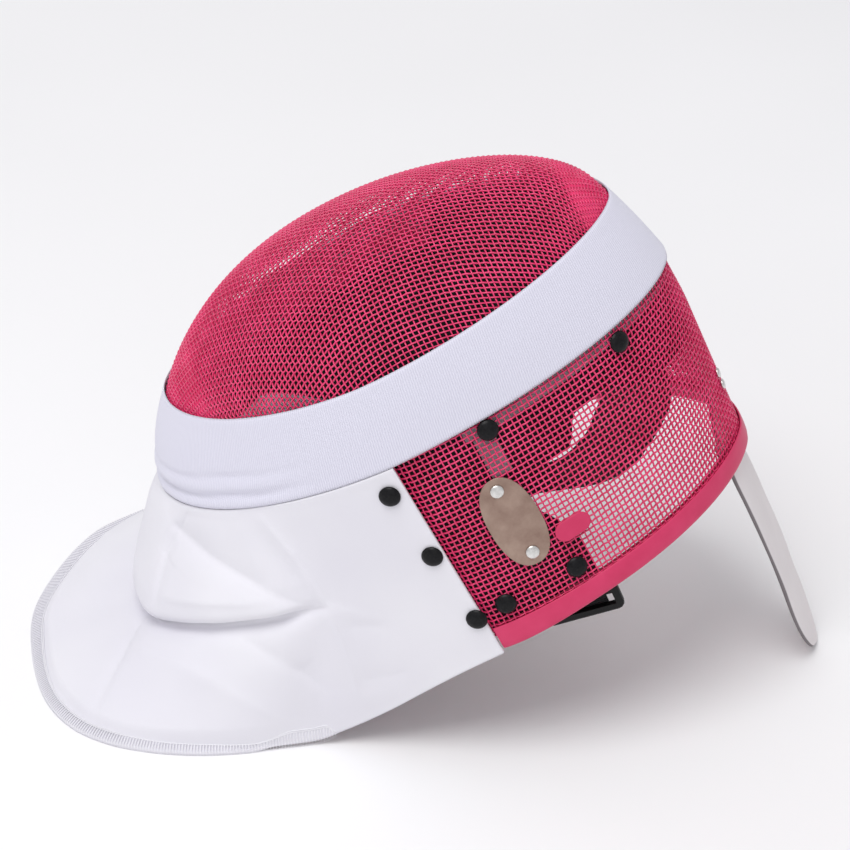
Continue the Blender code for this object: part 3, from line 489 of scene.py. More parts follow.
class Nodes:
    """Short names for building a node material."""

    def __init__(self, name, colour, roughness, metallic=0.0, **values):
        self.material = bpy.data.materials.new(name)
        self.material.use_nodes = True
        self.tree = self.material.node_tree
        self.shader = self.tree.nodes["Principled BSDF"]
        self.fill(self.shader, {"Base Color": (*colour, 1.0), "Roughness": roughness, "Metallic": metallic})
        self.fill(self.shader, {key.replace("_", " "): value for key, value in values.items()})

    def fill(self, node, inputs):
        """Gives a node's inputs their values, or joins them to other nodes' outputs."""
        for key, value in inputs.items():
            if isinstance(value, bpy.types.NodeSocket):
                self.tree.links.new(value, node.inputs[key])
            else:
                node.inputs[key].default_value = value

    def add(self, kind, inputs, **settings):
        node = self.tree.nodes.new("ShaderNode" + kind)
        for key, value in settings.items():
            setattr(node, key, value)
        self.fill(node, inputs)
        return node.outputs

    def noise(self, scale, detail=3.0, roughness=0.5, vector=None):
        if vector is None:
            vector = self.place("Object")
        return self.add("TexNoise", {"Scale": scale, "Detail": detail, "Roughness": roughness,
                                     "Vector": vector})["Fac"]

    def place(self, kind):
        return self.add("TexCoord", {})[kind]

    def ramp(self, source, low, high, start=0.3, end=0.7):
        outputs = self.add("ValToRGB", {"Fac": source})
        for element, place, colour in zip(outputs[0].node.color_ramp.elements, (start, end), (low, high)):
            element.position = place
            element.color = (*colour, 1.0)
        return outputs["Color"]

    def maths(self, operation, *values):
        return self.add("Math", dict(enumerate(values)), operation=operation)[0]

    def wave(self, source, pitch):
        return self.maths("SINE", self.maths("MULTIPLY", source, 2.0 * math.pi / pitch))

    def span(self, source, low, high):
        return self.add("MapRange", {"Value": source, "To Min": low, "To Max": high})["Result"]

    def cloth(self, turn=0.0):
        """The place on the cloth in millimetres, turned by an angle."""
        vector = self.place("UV")
        if turn:
            vector = self.add("Mapping", {"Vector": vector, "Rotation": (0.0, 0.0, turn)})["Vector"]
        return self.add("SeparateXYZ", {"Vector": vector})

    def weave(self, pitch_u, pitch_v):
        """The height of a plain weave, 0 to 1."""
        split = self.cloth()
        u = self.wave(split["X"], 2.0 * pitch_u)
        v = self.wave(split["Y"], 2.0 * pitch_v)
        return self.maths("MULTIPLY_ADD", self.maths("MULTIPLY", u, v), 0.5, 0.5)

    def done(self, colour, bumps=(), roughness=None):
        """The finished material. Bumps are (height, distance in metres, strength), one upon the other."""
        self.fill(self.shader, {"Base Color": colour})
        normal = None
        for height, distance, strength in bumps:
            inputs = {"Height": height, "Distance": distance, "Strength": strength}
            if normal is not None:
                inputs["Normal"] = normal
            normal = self.add("Bump", inputs)["Normal"]
        for key, value in (("Normal", normal), ("Roughness", roughness)):
            if value is not None:
                self.fill(self.shader, {key: value})
        return self.material


def wire_paint():
    m = Nodes("wire_paint", (0.70, 0.035, 0.14), 0.34, Coat_Weight=0.25, Coat_Roughness=0.2,
              Specular_IOR_Level=0.4)
    fine = m.noise(900.0, 2.0)
    colour = m.ramp(m.noise(60.0, 4.0, 0.6), (0.70, 0.026, 0.125), (0.86, 0.048, 0.185), 0.35, 0.65)
    return m.done(colour, [(fine, 0.0001, 0.4)], m.span(fine, 0.26, 0.42))


def rib_shade_and_height(m, split, pitch, fill_pitch, fill_height, wobble=None):
    """The ribs of a webbing as 0 to 1, low in the grooves, used for painted shade in the colour, and its
    height with the weft between them.
    """
    across = split["X"] if wobble is None else m.maths("MULTIPLY_ADD", wobble, 0.5, split["X"])
    rib = m.wave(across, pitch)
    height = m.maths("MULTIPLY_ADD", m.wave(split["Y"], fill_pitch), fill_height, rib)
    return m.maths("MULTIPLY_ADD", rib, 0.5, 0.5), height


def webbing_cloth():
    """White webbing with fine slanting ribs, its colour darker in the grooves between them: painted shade."""
    m = Nodes("trim_webbing", (0.80, 0.79, 0.87), 0.82, Sheen_Weight=0.25, Sheen_Roughness=0.5)
    wobble = m.noise(0.35, 2.0, 0.5, m.place("UV"))
    rib, height = rib_shade_and_height(m, m.cloth(math.radians(11.0)), 1.35, 0.7, 0.25, wobble)
    soft = m.noise(35.0, 3.0)
    # Painted shade: the colour follows the ribs and is darker in the grooves.
    colour = m.ramp(rib, (0.66, 0.65, 0.765), (0.76, 0.75, 0.855), 0.0, 0.7)
    return m.done(colour, [(soft, 0.002, 0.12), (height, 0.0002, 0.5)], m.span(soft, 0.75, 0.9))


def bib_cloth():
    m = Nodes("bib_cloth", (0.84, 0.83, 0.88), 0.85, Sheen_Weight=0.2, Sheen_Roughness=0.6)
    soft = m.noise(22.0, 4.0, 0.55)
    colour = m.ramp(m.noise(9.0, 2.0), (0.745, 0.73, 0.79), (0.81, 0.80, 0.84))
    return m.done(colour, [(soft, 0.003, 0.1), (m.weave(0.42, 0.42), 0.00012, 0.5)], m.span(soft, 0.78, 0.92))


def thread_cloth():
    m = Nodes("white_thread", (0.82, 0.81, 0.86), 0.75, Sheen_Weight=0.2)
    fine = m.noise(2500.0, 2.0)
    return m.done(m.ramp(fine, (0.80, 0.79, 0.84), (0.90, 0.89, 0.92)), [(fine, 0.0001, 0.5)])


def pink_vinyl():
    m = Nodes("pink_vinyl", (0.60, 0.042, 0.125), 0.42, Specular_IOR_Level=0.3, Coat_Weight=0.05,
              Coat_Roughness=0.35)
    soft = m.noise(70.0, 3.0)
    fine = m.noise(1400.0, 3.0, 0.6)
    colour = m.ramp(soft, (0.60, 0.034, 0.115), (0.66, 0.046, 0.14))
    return m.done(colour, [(soft, 0.001, 0.12), (fine, 0.00008, 0.35)], m.span(soft, 0.36, 0.5))


def black_enamel():
    m = Nodes("black_enamel", (0.006, 0.006, 0.007), 0.3, Specular_IOR_Level=0.14, Coat_Weight=0.05,
              Coat_Roughness=0.1)
    fine = m.noise(800.0, 3.0)
    colour = m.ramp(fine, (0.004, 0.004, 0.005), (0.010, 0.010, 0.011))
    return m.done(colour, [(fine, 0.00006, 0.3)], m.span(fine, 0.25, 0.4))


def bronze():
    m = Nodes("bronze_plate", (0.36, 0.25, 0.20), 0.42, 0.85)
    brushed = m.add("Mapping", {"Vector": m.place("Object"), "Scale": (60.0, 2200.0, 60.0)})
    lines = m.noise(1.0, 3.0, 0.6, brushed["Vector"])
    patch = m.noise(90.0, 4.0, 0.6)
    colour = m.ramp(patch, (0.30, 0.20, 0.16), (0.44, 0.32, 0.26))
    return m.done(colour, [(lines, 0.00005, 0.35)], m.span(patch, 0.36, 0.52))


def bright_steel():
    m = Nodes("bright_steel", (0.74, 0.73, 0.71), 0.28, 1.0)
    patch = m.noise(500.0, 3.0)
    colour = m.ramp(patch, (0.62, 0.61, 0.59), (0.8, 0.79, 0.77))
    return m.done(colour, [(patch, 0.00005, 0.3)], m.span(patch, 0.2, 0.38))


def lining_cloth():
    m = Nodes("lining_cloth", (0.012, 0.012, 0.014), 0.95, Sheen_Weight=0.08, Specular_IOR_Level=0.25)
    soft = m.noise(60.0, 4.0)
    colour = m.ramp(soft, (0.009, 0.009, 0.011), (0.018, 0.018, 0.02))
    return m.done(colour, [(soft, 0.001, 0.3), (m.weave(0.6, 0.6), 0.00015, 0.5)])


def grey_tape():
    m = Nodes("grey_tape", (0.36, 0.36, 0.38), 0.9)
    colour = m.ramp(m.noise(60.0, 3.0), (0.32, 0.32, 0.34), (0.42, 0.42, 0.44))
    return m.done(colour, [(m.weave(0.5, 0.7), 0.00015, 0.6)])


def tongue_cover():
    """Pale leathercloth, with painted shade along both of its rounded edges."""
    m = Nodes("tongue_cover", (0.70, 0.665, 0.675), 0.55, Specular_IOR_Level=0.4)
    soft = m.noise(30.0, 4.0)
    fine = m.noise(1100.0, 4.0, 0.65)
    colour = m.ramp(soft, (0.74, 0.69, 0.695), (0.80, 0.755, 0.76))
    # Painted shade: the colour is darkened along both rounded edges of the tongue, where they turn from the
    # light.
    side = m.maths("MULTIPLY", m.maths("ABSOLUTE", m.cloth()["Y"]), 1.0 / TONGUE_HALF_WIDTH)
    edge = m.ramp(side, (1.0, 1.0, 1.0), (0.24, 0.225, 0.235), 0.93, 0.965)
    painted_edge_shade_colour = m.add("Mix", {0: 1.0, 6: colour, 7: edge}, data_type="RGBA", blend_type="MULTIPLY")[2]
    return m.done(painted_edge_shade_colour, [(soft, 0.002, 0.12), (fine, 0.0001, 0.4)], m.span(soft, 0.48, 0.62))


def black_elastic():
    m = Nodes("black_elastic", (0.014, 0.014, 0.015), 0.88)
    rib, height = rib_shade_and_height(m, m.cloth(), 1.3, 0.9, 0.4)
    # Painted shade: the colour follows the ribs and is darker in the grooves.
    return m.done(m.ramp(rib, (0.007, 0.007, 0.008), (0.022, 0.022, 0.024)), [(height, 0.0003, 0.6)])


def black_plastic():
    m = Nodes("black_plastic", (0.008, 0.008, 0.008), 0.4, Specular_IOR_Level=0.2)
    fine = m.noise(1500.0, 3.0, 0.6)
    colour = m.ramp(fine, (0.005, 0.005, 0.005), (0.012, 0.012, 0.012))
    return m.done(colour, [(fine, 0.00008, 0.35)], m.span(fine, 0.32, 0.5))


# Woven wire

def woven(name, centre, normal, inside, material, node_name, radius, ends=None):
    """Two sets of crossing wires on a grid of places (rows, columns, 3) with a mask of the used ones.

    The rows' wires and the columns' wires pass over and under each other.
    """
    parity = np.where(np.add.outer(*[np.arange(count) for count in inside.shape]) % 2 == 0, 1.0, -1.0)
    lift = radius * 0.92 * MM
    for label, swap in (("rows", False), ("columns", True)):
        places, turns, used, sign = centre, normal, inside, parity
        if swap:
            places, turns, used, sign = places.swapaxes(0, 1), turns.swapaxes(0, 1), used.T, -sign.T
        paths, path_normals = [], []
        for i, flags in enumerate(used):
            flags = np.concatenate([[False], flags, [False]])
            changes = np.flatnonzero(flags[1:] != flags[:-1])
            for start, stop in zip(changes[::2], changes[1::2]):
                if stop - start < 2:
                    continue
                run, normals = places[i, start:stop], turns[i, start:stop]
                path = np.empty((2 * len(run) - 1, 3))
                path[0::2] = run + normals * (sign[i, start:stop, None] * lift)
                path[1::2] = (run[1:] + run[:-1]) / 2.0
                turn = np.empty_like(path)
                turn[0::2] = normals
                turn[1::2] = (normals[1:] + normals[:-1]) / 2.0
                if ends is not None:
                    path = np.vstack([ends(swap, i, start)[None], path, ends(swap, i, stop - 1)[None]])
                    turn = np.vstack([turn[:1], turn, turn[-1:]])
                paths.append(path)
                path_normals.append(turn)
        mesh = wires_mesh(f"{name}_{label}", paths, path_normals, radius * MM)
        link(f"{name}_{label}", mesh, material, [node_name])


def dome_wires(material):
    """Wires evenly spaced over the dome, found by walking its surface in both directions."""
    t_axis, s_axis = (np.arange(-reach, reach + 0.01, NET_STEP) for reach in NET_REACH)
    middle = len(t_axis) // 2
    lean = NET_LEAN[0] + (NET_LEAN[1] - NET_LEAN[0]) * np.clip((t_axis + 20.0) / 90.0, 0.0, 1.0)
    lean = lean / (1.0 - NET_SKEW * lean)
    base = np.cumsum(lean) * NET_STEP
    base = base - base[middle] + NET_CENTRE_S
    t_line = t_axis[:, None] + NET_SKEW * (s_axis - NET_CENTRE_S)
    fall = np.gradient(dome_height(t_line, np.broadcast_to(s_axis, t_line.shape)), NET_STEP, axis=1)
    fall = np.clip(fall, -NET_STEEPEST, NET_STEEPEST)
    run_s = np.cumsum(np.sqrt(1.0 + NET_SKEW ** 2 + fall ** 2), axis=1) * NET_STEP
    rows, columns = (np.arange(-count, count + 1) * WIRE_PITCH for count in NET_COUNTS)
    across = np.array([np.interp(columns + np.interp(start, s_axis, line), line, s_axis)
                       for start, line in zip(base, run_s)])
    forward = t_axis[:, None] + NET_SKEW * (across - NET_CENTRE_S)
    limit = NET_STEEPEST * NET_STEP
    rise = np.clip(np.gradient(dome_height(forward, across), axis=0), -limit, limit)
    run_t = np.cumsum(np.sqrt(np.gradient(forward, axis=0) ** 2 + np.gradient(across, axis=0) ** 2
                              + rise ** 2), axis=0)
    lines = (run_t - run_t[middle]).T
    t, s = (np.stack([np.interp(rows, line, value) for line, value in zip(lines, values.T)], axis=1)
            for values in (forward, across))
    level, cosine = oval_level(t, s)
    theta = np.arctan2(np.sign(s) * np.sqrt(1.0 - cosine ** 2), cosine)
    out_t, out_s = oval_normal(theta)
    height = dome_height(t, s)
    inset = WIRE_UNDER_BAND * np.minimum(level, 1.0)
    centre = np.stack([t - out_t * inset, s - out_s * inset, -height], axis=-1)
    slopes = [dome_height(t - dt, s - ds) - dome_height(t + dt, s + ds)
              for dt, ds in ((0.5, 0.0), (0.0, 0.5))]
    slopes = np.clip(slopes, -DOME_STEEPEST, DOME_STEEPEST)
    normal = unit(np.stack([*slopes, -np.ones_like(t)], axis=-1))
    centre = centre - normal * (WIRE_WALL / 2.0)
    inside = (height > -3.6) & (level < 1.05)
    world_centre = world(centre)
    tucked = world(wire_shell(theta, 10.0, WIRE_WALL / 2.0))

    def ends(swap, i, j):
        return tucked[j, i] if swap else tucked[i, j]

    woven("face_wires", world_centre, unit(world(centre + normal) - world_centre), inside, material,
          "face_mesh", WIRE_RADIUS, ends)


def wall_wires(material):
    """Wires round the wall, parallel to its rim, and wires down it."""
    fine = np.linspace(-math.pi, math.pi, 4001)
    run = run_along(wire_shell(fine, 100.0))
    count = int(run[-1] / WIRE_PITCH)
    theta = np.interp(np.arange(count + 1) * run[-1] / count, run, fine)
    depth = rim_depth(theta) + 6.0 - WIRE_PITCH * np.arange(54)[:, None]
    angle = np.broadcast_to(theta, depth.shape)
    top = np.where(np.abs(np.degrees(angle)) < 78.0, *WALL_TOPS)
    inside = (depth > top) & (depth < wall_bottom(angle) - 0.5)
    depth = np.clip(depth, 2.0, 175.0)

    def place(turn, fall):
        return world(wire_shell(angle + turn, depth + fall, WIRE_WALL / 2.0))

    centre = place(0.0, 0.0)
    normal = unit(np.cross(place(0.01, 0.0) - place(-0.01, 0.0), place(0.0, 1.0) - place(0.0, -1.0)))
    normal *= np.sign(np.sum(normal * (centre - world([0.0, 0.0, 100.0])), axis=-1, keepdims=True))
    woven("wall_wires", centre, normal, inside, material, "side_mesh", WALL_WIRE_RADIUS)


# Trim band and rim binding

def band_piece(material):
    """The webbing, with rolled edges, a soft crown and the creases that run over the chin."""
    theta = np.linspace(-math.pi, math.pi, 640, endpoint=False)
    run = run_along(shell(theta, 23.0))
    across, inner = 30, 8
    share = np.arange(across) / (across - 1)
    roll = 0.55 * (1.0 - np.minimum(np.minimum(share, 1.0 - share), 0.045) / 0.045) ** 2
    back = 1.0 - (np.arange(inner) + 0.5) / inner
    depth = np.concatenate([-0.8 + (BAND_DEPTH + 0.8) * share, -0.5 + (BAND_DEPTH + 0.2) * back])[:, None]
    level = np.concatenate([-roll, np.full(inner, -BAND_THICKNESS)])[:, None]
    outer = (np.arange(across + inner) < across)[:, None]
    arch = np.sin(np.pi * np.clip(depth / BAND_DEPTH, 0.0, 1.0))
    degrees = np.degrees(theta)
    crown = BAND_CROWN + CHIN_CROWN * smooth(128.0, 172.0, np.abs(degrees))
    chin = smooth(108.0, 132.0, np.abs(degrees))
    wave = 0.35 * np.sin(np.radians(degrees * 7.0) + 0.6) + 0.25 * np.sin(np.radians(degrees * 17.0) + 2.0)
    folds = 1.0 * np.exp(-((depth - 34.6) / 3.0) ** 2) + 1.1 * np.exp(-((depth - 43.4) / 2.6) ** 2)
    for at, wide, deep, slant in ((30.0, 1.3, 1.1, 0.8), (39.3, 1.5, 1.9, 0.5)):
        line = at + slant * np.sin(np.radians(degrees * 3.0 + at * 9.0)) + 1.2 * wave
        folds = folds - deep * np.exp(-np.abs((depth - line) / wide) ** 1.3)
    offset = level + crown * arch + outer * (folds * chin + 0.15 * wave * arch)
    looped_piece("trim_webbing", shell(theta, depth, offset), pairs(run, depth), material, ["trim_band"])


def rim_piece(material):
    """A folded vinyl channel, slightly swollen, whose lips press on the wire."""
    outer, inner = RIM_LIPS
    low = RIM_HEIGHT
    slot = RIM_RAISE + RIM_SLOT_DEPTH + 0.5
    profile = [(outer - 0.95, 0.25), (outer - 0.7, 0.02), (outer - 0.4, 0.0), (outer - 0.15, 0.2),
               (outer, 0.7), (outer + 0.12, 3.5), (outer + 0.15, 6.5), (outer + 0.05, low - 2.6),
               (outer - 0.25, low - 1.2), (outer - 0.9, low - 0.3), (outer - 1.8, low),
               (inner + 1.8, low), (inner + 0.9, low - 0.3), (inner + 0.25, low - 1.2), (inner, low - 2.6),
               (inner - 0.1, 5.0), (inner, 0.7), (inner + 0.2, 0.15), (inner + 0.6, 0.0),
               (inner + 0.95, 0.3), (inner + 1.0, slot), (outer - 1.0, slot)]
    end = math.radians(RIM_END_DEG)
    theta = np.linspace(-end, end, 360)
    run = run_along(shell(theta, RIM_DEPTH))
    wave = 0.14 * np.sin(run / 23.0) + 0.10 * np.sin(run / 9.0 + 1.0)
    growth = smooth(60.0, 88.0, np.abs(np.degrees(theta)))
    start = rim_depth(theta) - RIM_RAISE * (1.0 - growth)
    stretch = 1.0 + RIM_END_GROWTH * growth / RIM_HEIGHT
    lines = []
    for out, down in profile:
        share = down / RIM_HEIGHT
        swell = wave * math.sin(math.pi * min(share, 1.0)) if out > 0.5 else 0.0
        lower = 0.18 * np.sin(run / 31.0 + 0.5) * share
        lines.append(shell(theta, start + down * stretch + lower, out + swell, WIRE_SPREAD_LIMIT))
    around = run_along(np.array(profile))
    tube("rim_vinyl", world(np.stack(lines, axis=1)), pairs(run[:, None], around), 60.0, material,
         ["rim_binding"])


# Bib

# Each station has its angle on the band, the bib's fold as t, s, n, the hem's x and y on the near side and on
# the far side, and its z, from FACE_CENTRE in the frame's directions
BIB_STATIONS = np.array((
    (92.6, -2.0, 117.8, 108.0, 80.0, -123.0, 80.0, 123.0, -151.0),
    (98.5, -18.0, 117.2, 109.0, 58.0, -122.5, 58.0, 122.5, -166.0),
    (104.0, -30.0, 116.6, 110.0, 38.0, -121.5, 38.0, 121.5, -181.0),
    (111.0, -45.0, 115.6, 110.0, 20.0, -120.5, 20.0, 120.5, -195.0),
    (117.5, -59.0, 114.4, 110.0, 4.0, -120.0, 4.0, 119.0, -206.0),
    (124.0, -72.0, 113.0, 110.5, -10.0, -120.5, -10.0, 118.0, -214.0),
    (130.0, -84.0, 111.0, 110.5, -23.0, -122.5, -24.0, 118.0, -219.5),
    (136.0, -104.0, 111.5, 108.5, -42.0, -128.0, -42.0, 119.5, -220.4),
    (142.0, -124.0, 108.5, 106.5, -60.0, -134.0, -60.0, 121.5, -220.4),
    (148.0, -143.0, 103.0, 105.0, -78.0, -138.0, -80.0, 122.0, -220.4),
    (154.0, -162.0, 94.0, 104.5, -98.0, -140.0, -102.0, 120.0, -220.4),
    (160.0, -179.0, 83.0, 104.5, -120.0, -139.0, -125.0, 115.0, -220.4),
    (165.0, -194.0, 69.0, 105.0, -142.0, -134.0, -147.0, 106.0, -220.4),
    (170.0, -204.5, 51.0, 105.5, -164.0, -121.5, -169.0, 88.0, -220.4),
    (174.0, -212.5, 32.0, 106.5, -183.0, -98.0, -187.0, 66.0, -220.4),
    (177.2, -218.0, 14.0, 107.5, -198.0, -60.0, -200.0, 28.0, -220.4),
    (180.0, -220.5, 0.0, 108.0, -206.0, -17.0, -206.0, -17.0, -220.4),
))
BIB_ROWS = np.array((
    (0.0, 0.0, 0.0),
    (0.12, 3.0, 0.2),
    (0.35, 5.5, 0.2),
    (0.58, 8.0, 0.2),
    (0.76, 9.2, 0.2),
    (0.91, 6.4, 0.1),
    (1.0, -1.4, 0.0),
    (1.08, 1.6, 0.1),
    (1.3, 3.0, 0.3),
    (1.6, 2.4, 0.5),
    (1.83, 0.8, 0.3),
    (1.9, 0.3, 0.1),
    (1.95, 0.0, 0.0),
    (2.0, 0.0, 0.0),
))
# Folds in the cloth, sharp at their line. Columns: half width in mm towards the chin or the hem, half width
# the other way, and the line's points as (station, row, height in mm; below zero is a valley)
BIB_FOLDS = (
    (15.0, 7.0, ((5.9, 0.0, 1.4), (5.75, 0.23, 4.0), (5.65, 0.45, 4.8), (5.75, 0.7, 4.4), (5.8, 0.94, 3.0))),
    (9.0, 6.0, ((5.75, 1.04, 1.6), (5.1, 1.2, 1.6), (4.6, 1.48, 1.4), (4.3, 1.73, 0.8))),
    (5.5, 15.0, ((10.7, 0.17, -1.0), (10.4, 0.245, -5.0), (8.9, 0.415, -8.0), (8.0, 0.53, -8.0),
                 (7.25, 0.66, -6.5), (6.7, 0.82, -4.5), (6.3, 0.92, -1.5))),
    (2.6, 8.0, ((10.6, 0.26, -1.5), (10.8, 0.33, -3.0), (11.1, 0.43, -3.4), (11.45, 0.68, -3.0),
                (11.6, 0.84, -0.8))),
    (4.0, 9.0, ((11.2, 0.72, 0.6), (10.4, 0.715, 1.6), (9.2, 0.71, 1.8), (8.0, 0.74, 1.6), (7.3, 0.76, 0.8))),
    (3.0, 5.0, ((14.4, 0.99, -1.0), (12.9, 1.02, -2.4), (10.9, 1.0, -3.4), (9.6, 1.0, -3.6),
                (7.9, 1.01, -3.6), (7.2, 1.01, -3.0), (5.9, 1.005, -2.2), (5.6, 1.0, -0.4))),
    (6.0, 5.0, ((12.9, 1.06, -2.4), (12.9, 1.14, -3.0), (12.65, 1.375, -3.0), (12.6, 1.8, -1.6))),
    (15.0, 7.0, ((12.4, 1.12, 0.4), (11.8, 1.22, 1.8), (10.45, 1.27, 2.4), (9.35, 1.4, 2.6),
                 (8.35, 1.58, 2.0), (7.4, 1.74, 0.6))),
    (6.5, 9.0, ((8.4, 1.1, -1.0), (7.9, 1.17, -2.8), (6.5, 1.44, -3.2), (5.9, 1.6, -1.0))),
    (7.0, 7.0, ((4.3, 1.22, -1.2), (3.2, 1.3, -1.2))),
    (7.0, 7.0, ((3.8, 1.68, -0.8), (2.6, 1.75, -0.8))),
)
BIB_LAST = 2 * (len(BIB_STATIONS) - 1)


def between(share, start, end, rise, fall):
    """A smooth curve from start to end that leaves with one slope and arrives with the other."""
    square, cube = share ** 2, share ** 3
    return (start * (2 * cube - 3 * square + 1) + rise * (cube - 2 * square + share)
            + end * (3 * square - 2 * cube) + fall * (cube - square))


def through(values, place):
    """A smooth curve through evenly spaced rows of values, read at many places."""
    index = np.minimum(place.astype(int), len(values) - 2)
    before, start, end, after = (values[np.clip(index + step, 0, len(values) - 1)] for step in (-1, 0, 1, 2))
    return between((place - index)[:, None], start, end, (end - before) / 2.0, (after - start) / 2.0)


def curve_through(x, y, at):
    """A smooth curve through unevenly spaced points."""
    slope = np.gradient(y, x)
    index = np.clip(np.searchsorted(x, at, side="right") - 1, 0, len(x) - 2)
    width = x[index + 1] - x[index]
    share = np.clip((at - x[index]) / width, 0.0, 1.0)
    return between(share, y[index], y[index + 1], slope[index] * width, slope[index + 1] * width)


def bib_stations():
    rows = []
    for index in range(BIB_LAST + 1):
        side = 1 if index <= BIB_LAST // 2 else -1
        row = BIB_STATIONS[min(index, BIB_LAST - index)]
        hem = row[[4, 5, 8] if side > 0 else [6, 7, 8]]
        band = world(shell(math.radians(row[0]) * side, BAND_DEPTH + 0.2, -0.1)) / MM
        fold = world([row[1], row[2] * side, row[3]]) / MM
        rows.append(np.concatenate([band, fold, hem + FACE_CENTRE, [smooth(127.0, 137.0, row[0])]]))
    return np.array(rows)


def bib_surface(place, row):
    """World points in millimetres of the bib at the crossings of places and rows."""
    read = through(bib_stations(), place)
    band, fold, hem = read[:, 0:3], read[:, 3:6], read[:, 6:9]
    pouch = np.clip(read[:, 9], 0.0, 1.0)
    out = fold - (np.array([-70.0, 0.0, -150.0]) + FACE_CENTRE)
    out[:, 2] = 0.0
    out = unit(out)
    upper, lower = BIB_ROWS[:, 0] <= 1.0, BIB_ROWS[:, 0] >= 1.0

    def profile(column):
        high, low = (curve_through(BIB_ROWS[part, 0], BIB_ROWS[part, column], row) for part in (upper, lower))
        return np.where(row <= 1.0, high, low)

    stand = profile(2) + (profile(1) - profile(2)) * pouch[:, None]
    stand *= 1.0 - CHIN_CALM * (1.0 - smooth(0.5, 4.0, np.abs(place - BIB_LAST / 2.0)))[:, None]
    first, second = (np.clip(row - start, 0.0, 1.0)[:, None] for start in (0.0, 1.0))
    base = band[:, None] + (fold - band)[:, None] * first + (hem - fold)[:, None] * second
    lift = np.repeat(out[:, None, :], len(row), axis=1)
    lift[:, row > 1.0, 2] += 0.5 * pouch[:, None]
    lift = unit(lift)
    return base + lift * stand[..., None], lift, hem, pouch


def bib_folds(points, place, row):
    """Heights of the folds at the surface's points."""
    mirrored = place > BIB_LAST / 2.0
    at = np.minimum(place, BIB_LAST - place)
    height = np.zeros(points.shape[:2])
    for chin_width, other_width, line in BIB_FOLDS:
        line = np.array(line)
        for side, used in ((False, ~mirrored), (True, mirrored)):
            ends = bib_surface(BIB_LAST - line[:, 0] if side else line[:, 0], line[:, 1])[0]
            ends = ends[np.arange(len(line)), np.arange(len(line))]
            here = points[used]
            nearest = np.full(here.shape[:2], 1e9)
            rise, turn = np.zeros(here.shape[:2]), np.zeros(here.shape[:2])
            for k in range(len(line) - 1):
                run = ends[k + 1] - ends[k]
                share = np.clip(((here - ends[k]) @ run) / (run @ run), 0.0, 1.0)
                away = np.linalg.norm(here - ends[k] - run * share[..., None], axis=2)
                spot = line[k] + (line[k + 1] - line[k]) * share[..., None]
                towards = (at[used][:, None] - spot[..., 0]) * 6.0 + (row - spot[..., 1]) * 60.0
                closer = away < nearest
                nearest = np.where(closer, away, nearest)
                rise = np.where(closer, spot[..., 2], rise)
                turn = np.where(closer, towards, turn)
            blend = 0.5 + 0.5 * turn / np.sqrt(turn ** 2 + 1.0)
            width = other_width + (chin_width - other_width) * blend
            height[used] += rise * np.exp(-1.2 * (np.sqrt((nearest / width) ** 2 + 0.01) - 0.1))
    return height


def ripple(points, seed, size, amount):
    """Smooth uneven swelling that depends on the place only."""
    rng = np.random.default_rng(seed)
    total = np.zeros(points.shape[:-1])
    for _ in range(7):
        direction = rng.normal(size=3)
        direction /= np.linalg.norm(direction)
        wave = size * rng.uniform(0.6, 1.6)
        total += np.sin(points @ direction * (2 * math.pi / wave) + rng.uniform(0, 2 * math.pi))
    return amount * total / 4.0


def bib_piece(material):
    """The bib's cloth; also gives its points, places and rows, for the stitches along its hem."""
    place = np.linspace(0.0, BIB_LAST, 401)
    row = np.concatenate([np.linspace(0.0, 1.0, 56), np.linspace(1.0, 2.0, 66)[1:]])
    points, lift, hem, pouch = bib_surface(place, row)
    height = bib_folds(points, place, row)
    calm = smooth(0.0, 0.10, row) * (1.0 - smooth(1.85, 2.0, row))
    height += (ripple(points, 5, 70.0, 0.9) + ripple(points, 8, 34.0, 0.35)) * pouch[:, None]
    height += ripple(points, 11, 90.0, 0.5)
    points = points + lift * (height * calm)[..., None]
    grounded = smooth(6.0, 8.0, np.minimum(place, BIB_LAST - place))[:, None]
    grounded = grounded * smooth(HEM_FLAT_ROW - 0.08, HEM_FLAT_ROW, row)
    points[..., 2] += (hem[:, None, 2] - points[..., 2]) * grounded
    points[..., 2] = np.maximum(points[..., 2], BIB_LOWEST)
    down = np.array([run_along(line) for line in points])
    uv = pairs(run_along(points[:, 70])[:, None], down)
    mesh = mesh_of("bib_cloth", points * MM, grid_quads(len(place), len(row)), uv)
    piece = link("bib_cloth", mesh, material, ["bib"])
    thicken(piece, (np.array([-60.0, 0.0, -150.0]) + FACE_CENTRE) * MM, BIB_CLOTH)
    return points, place, row


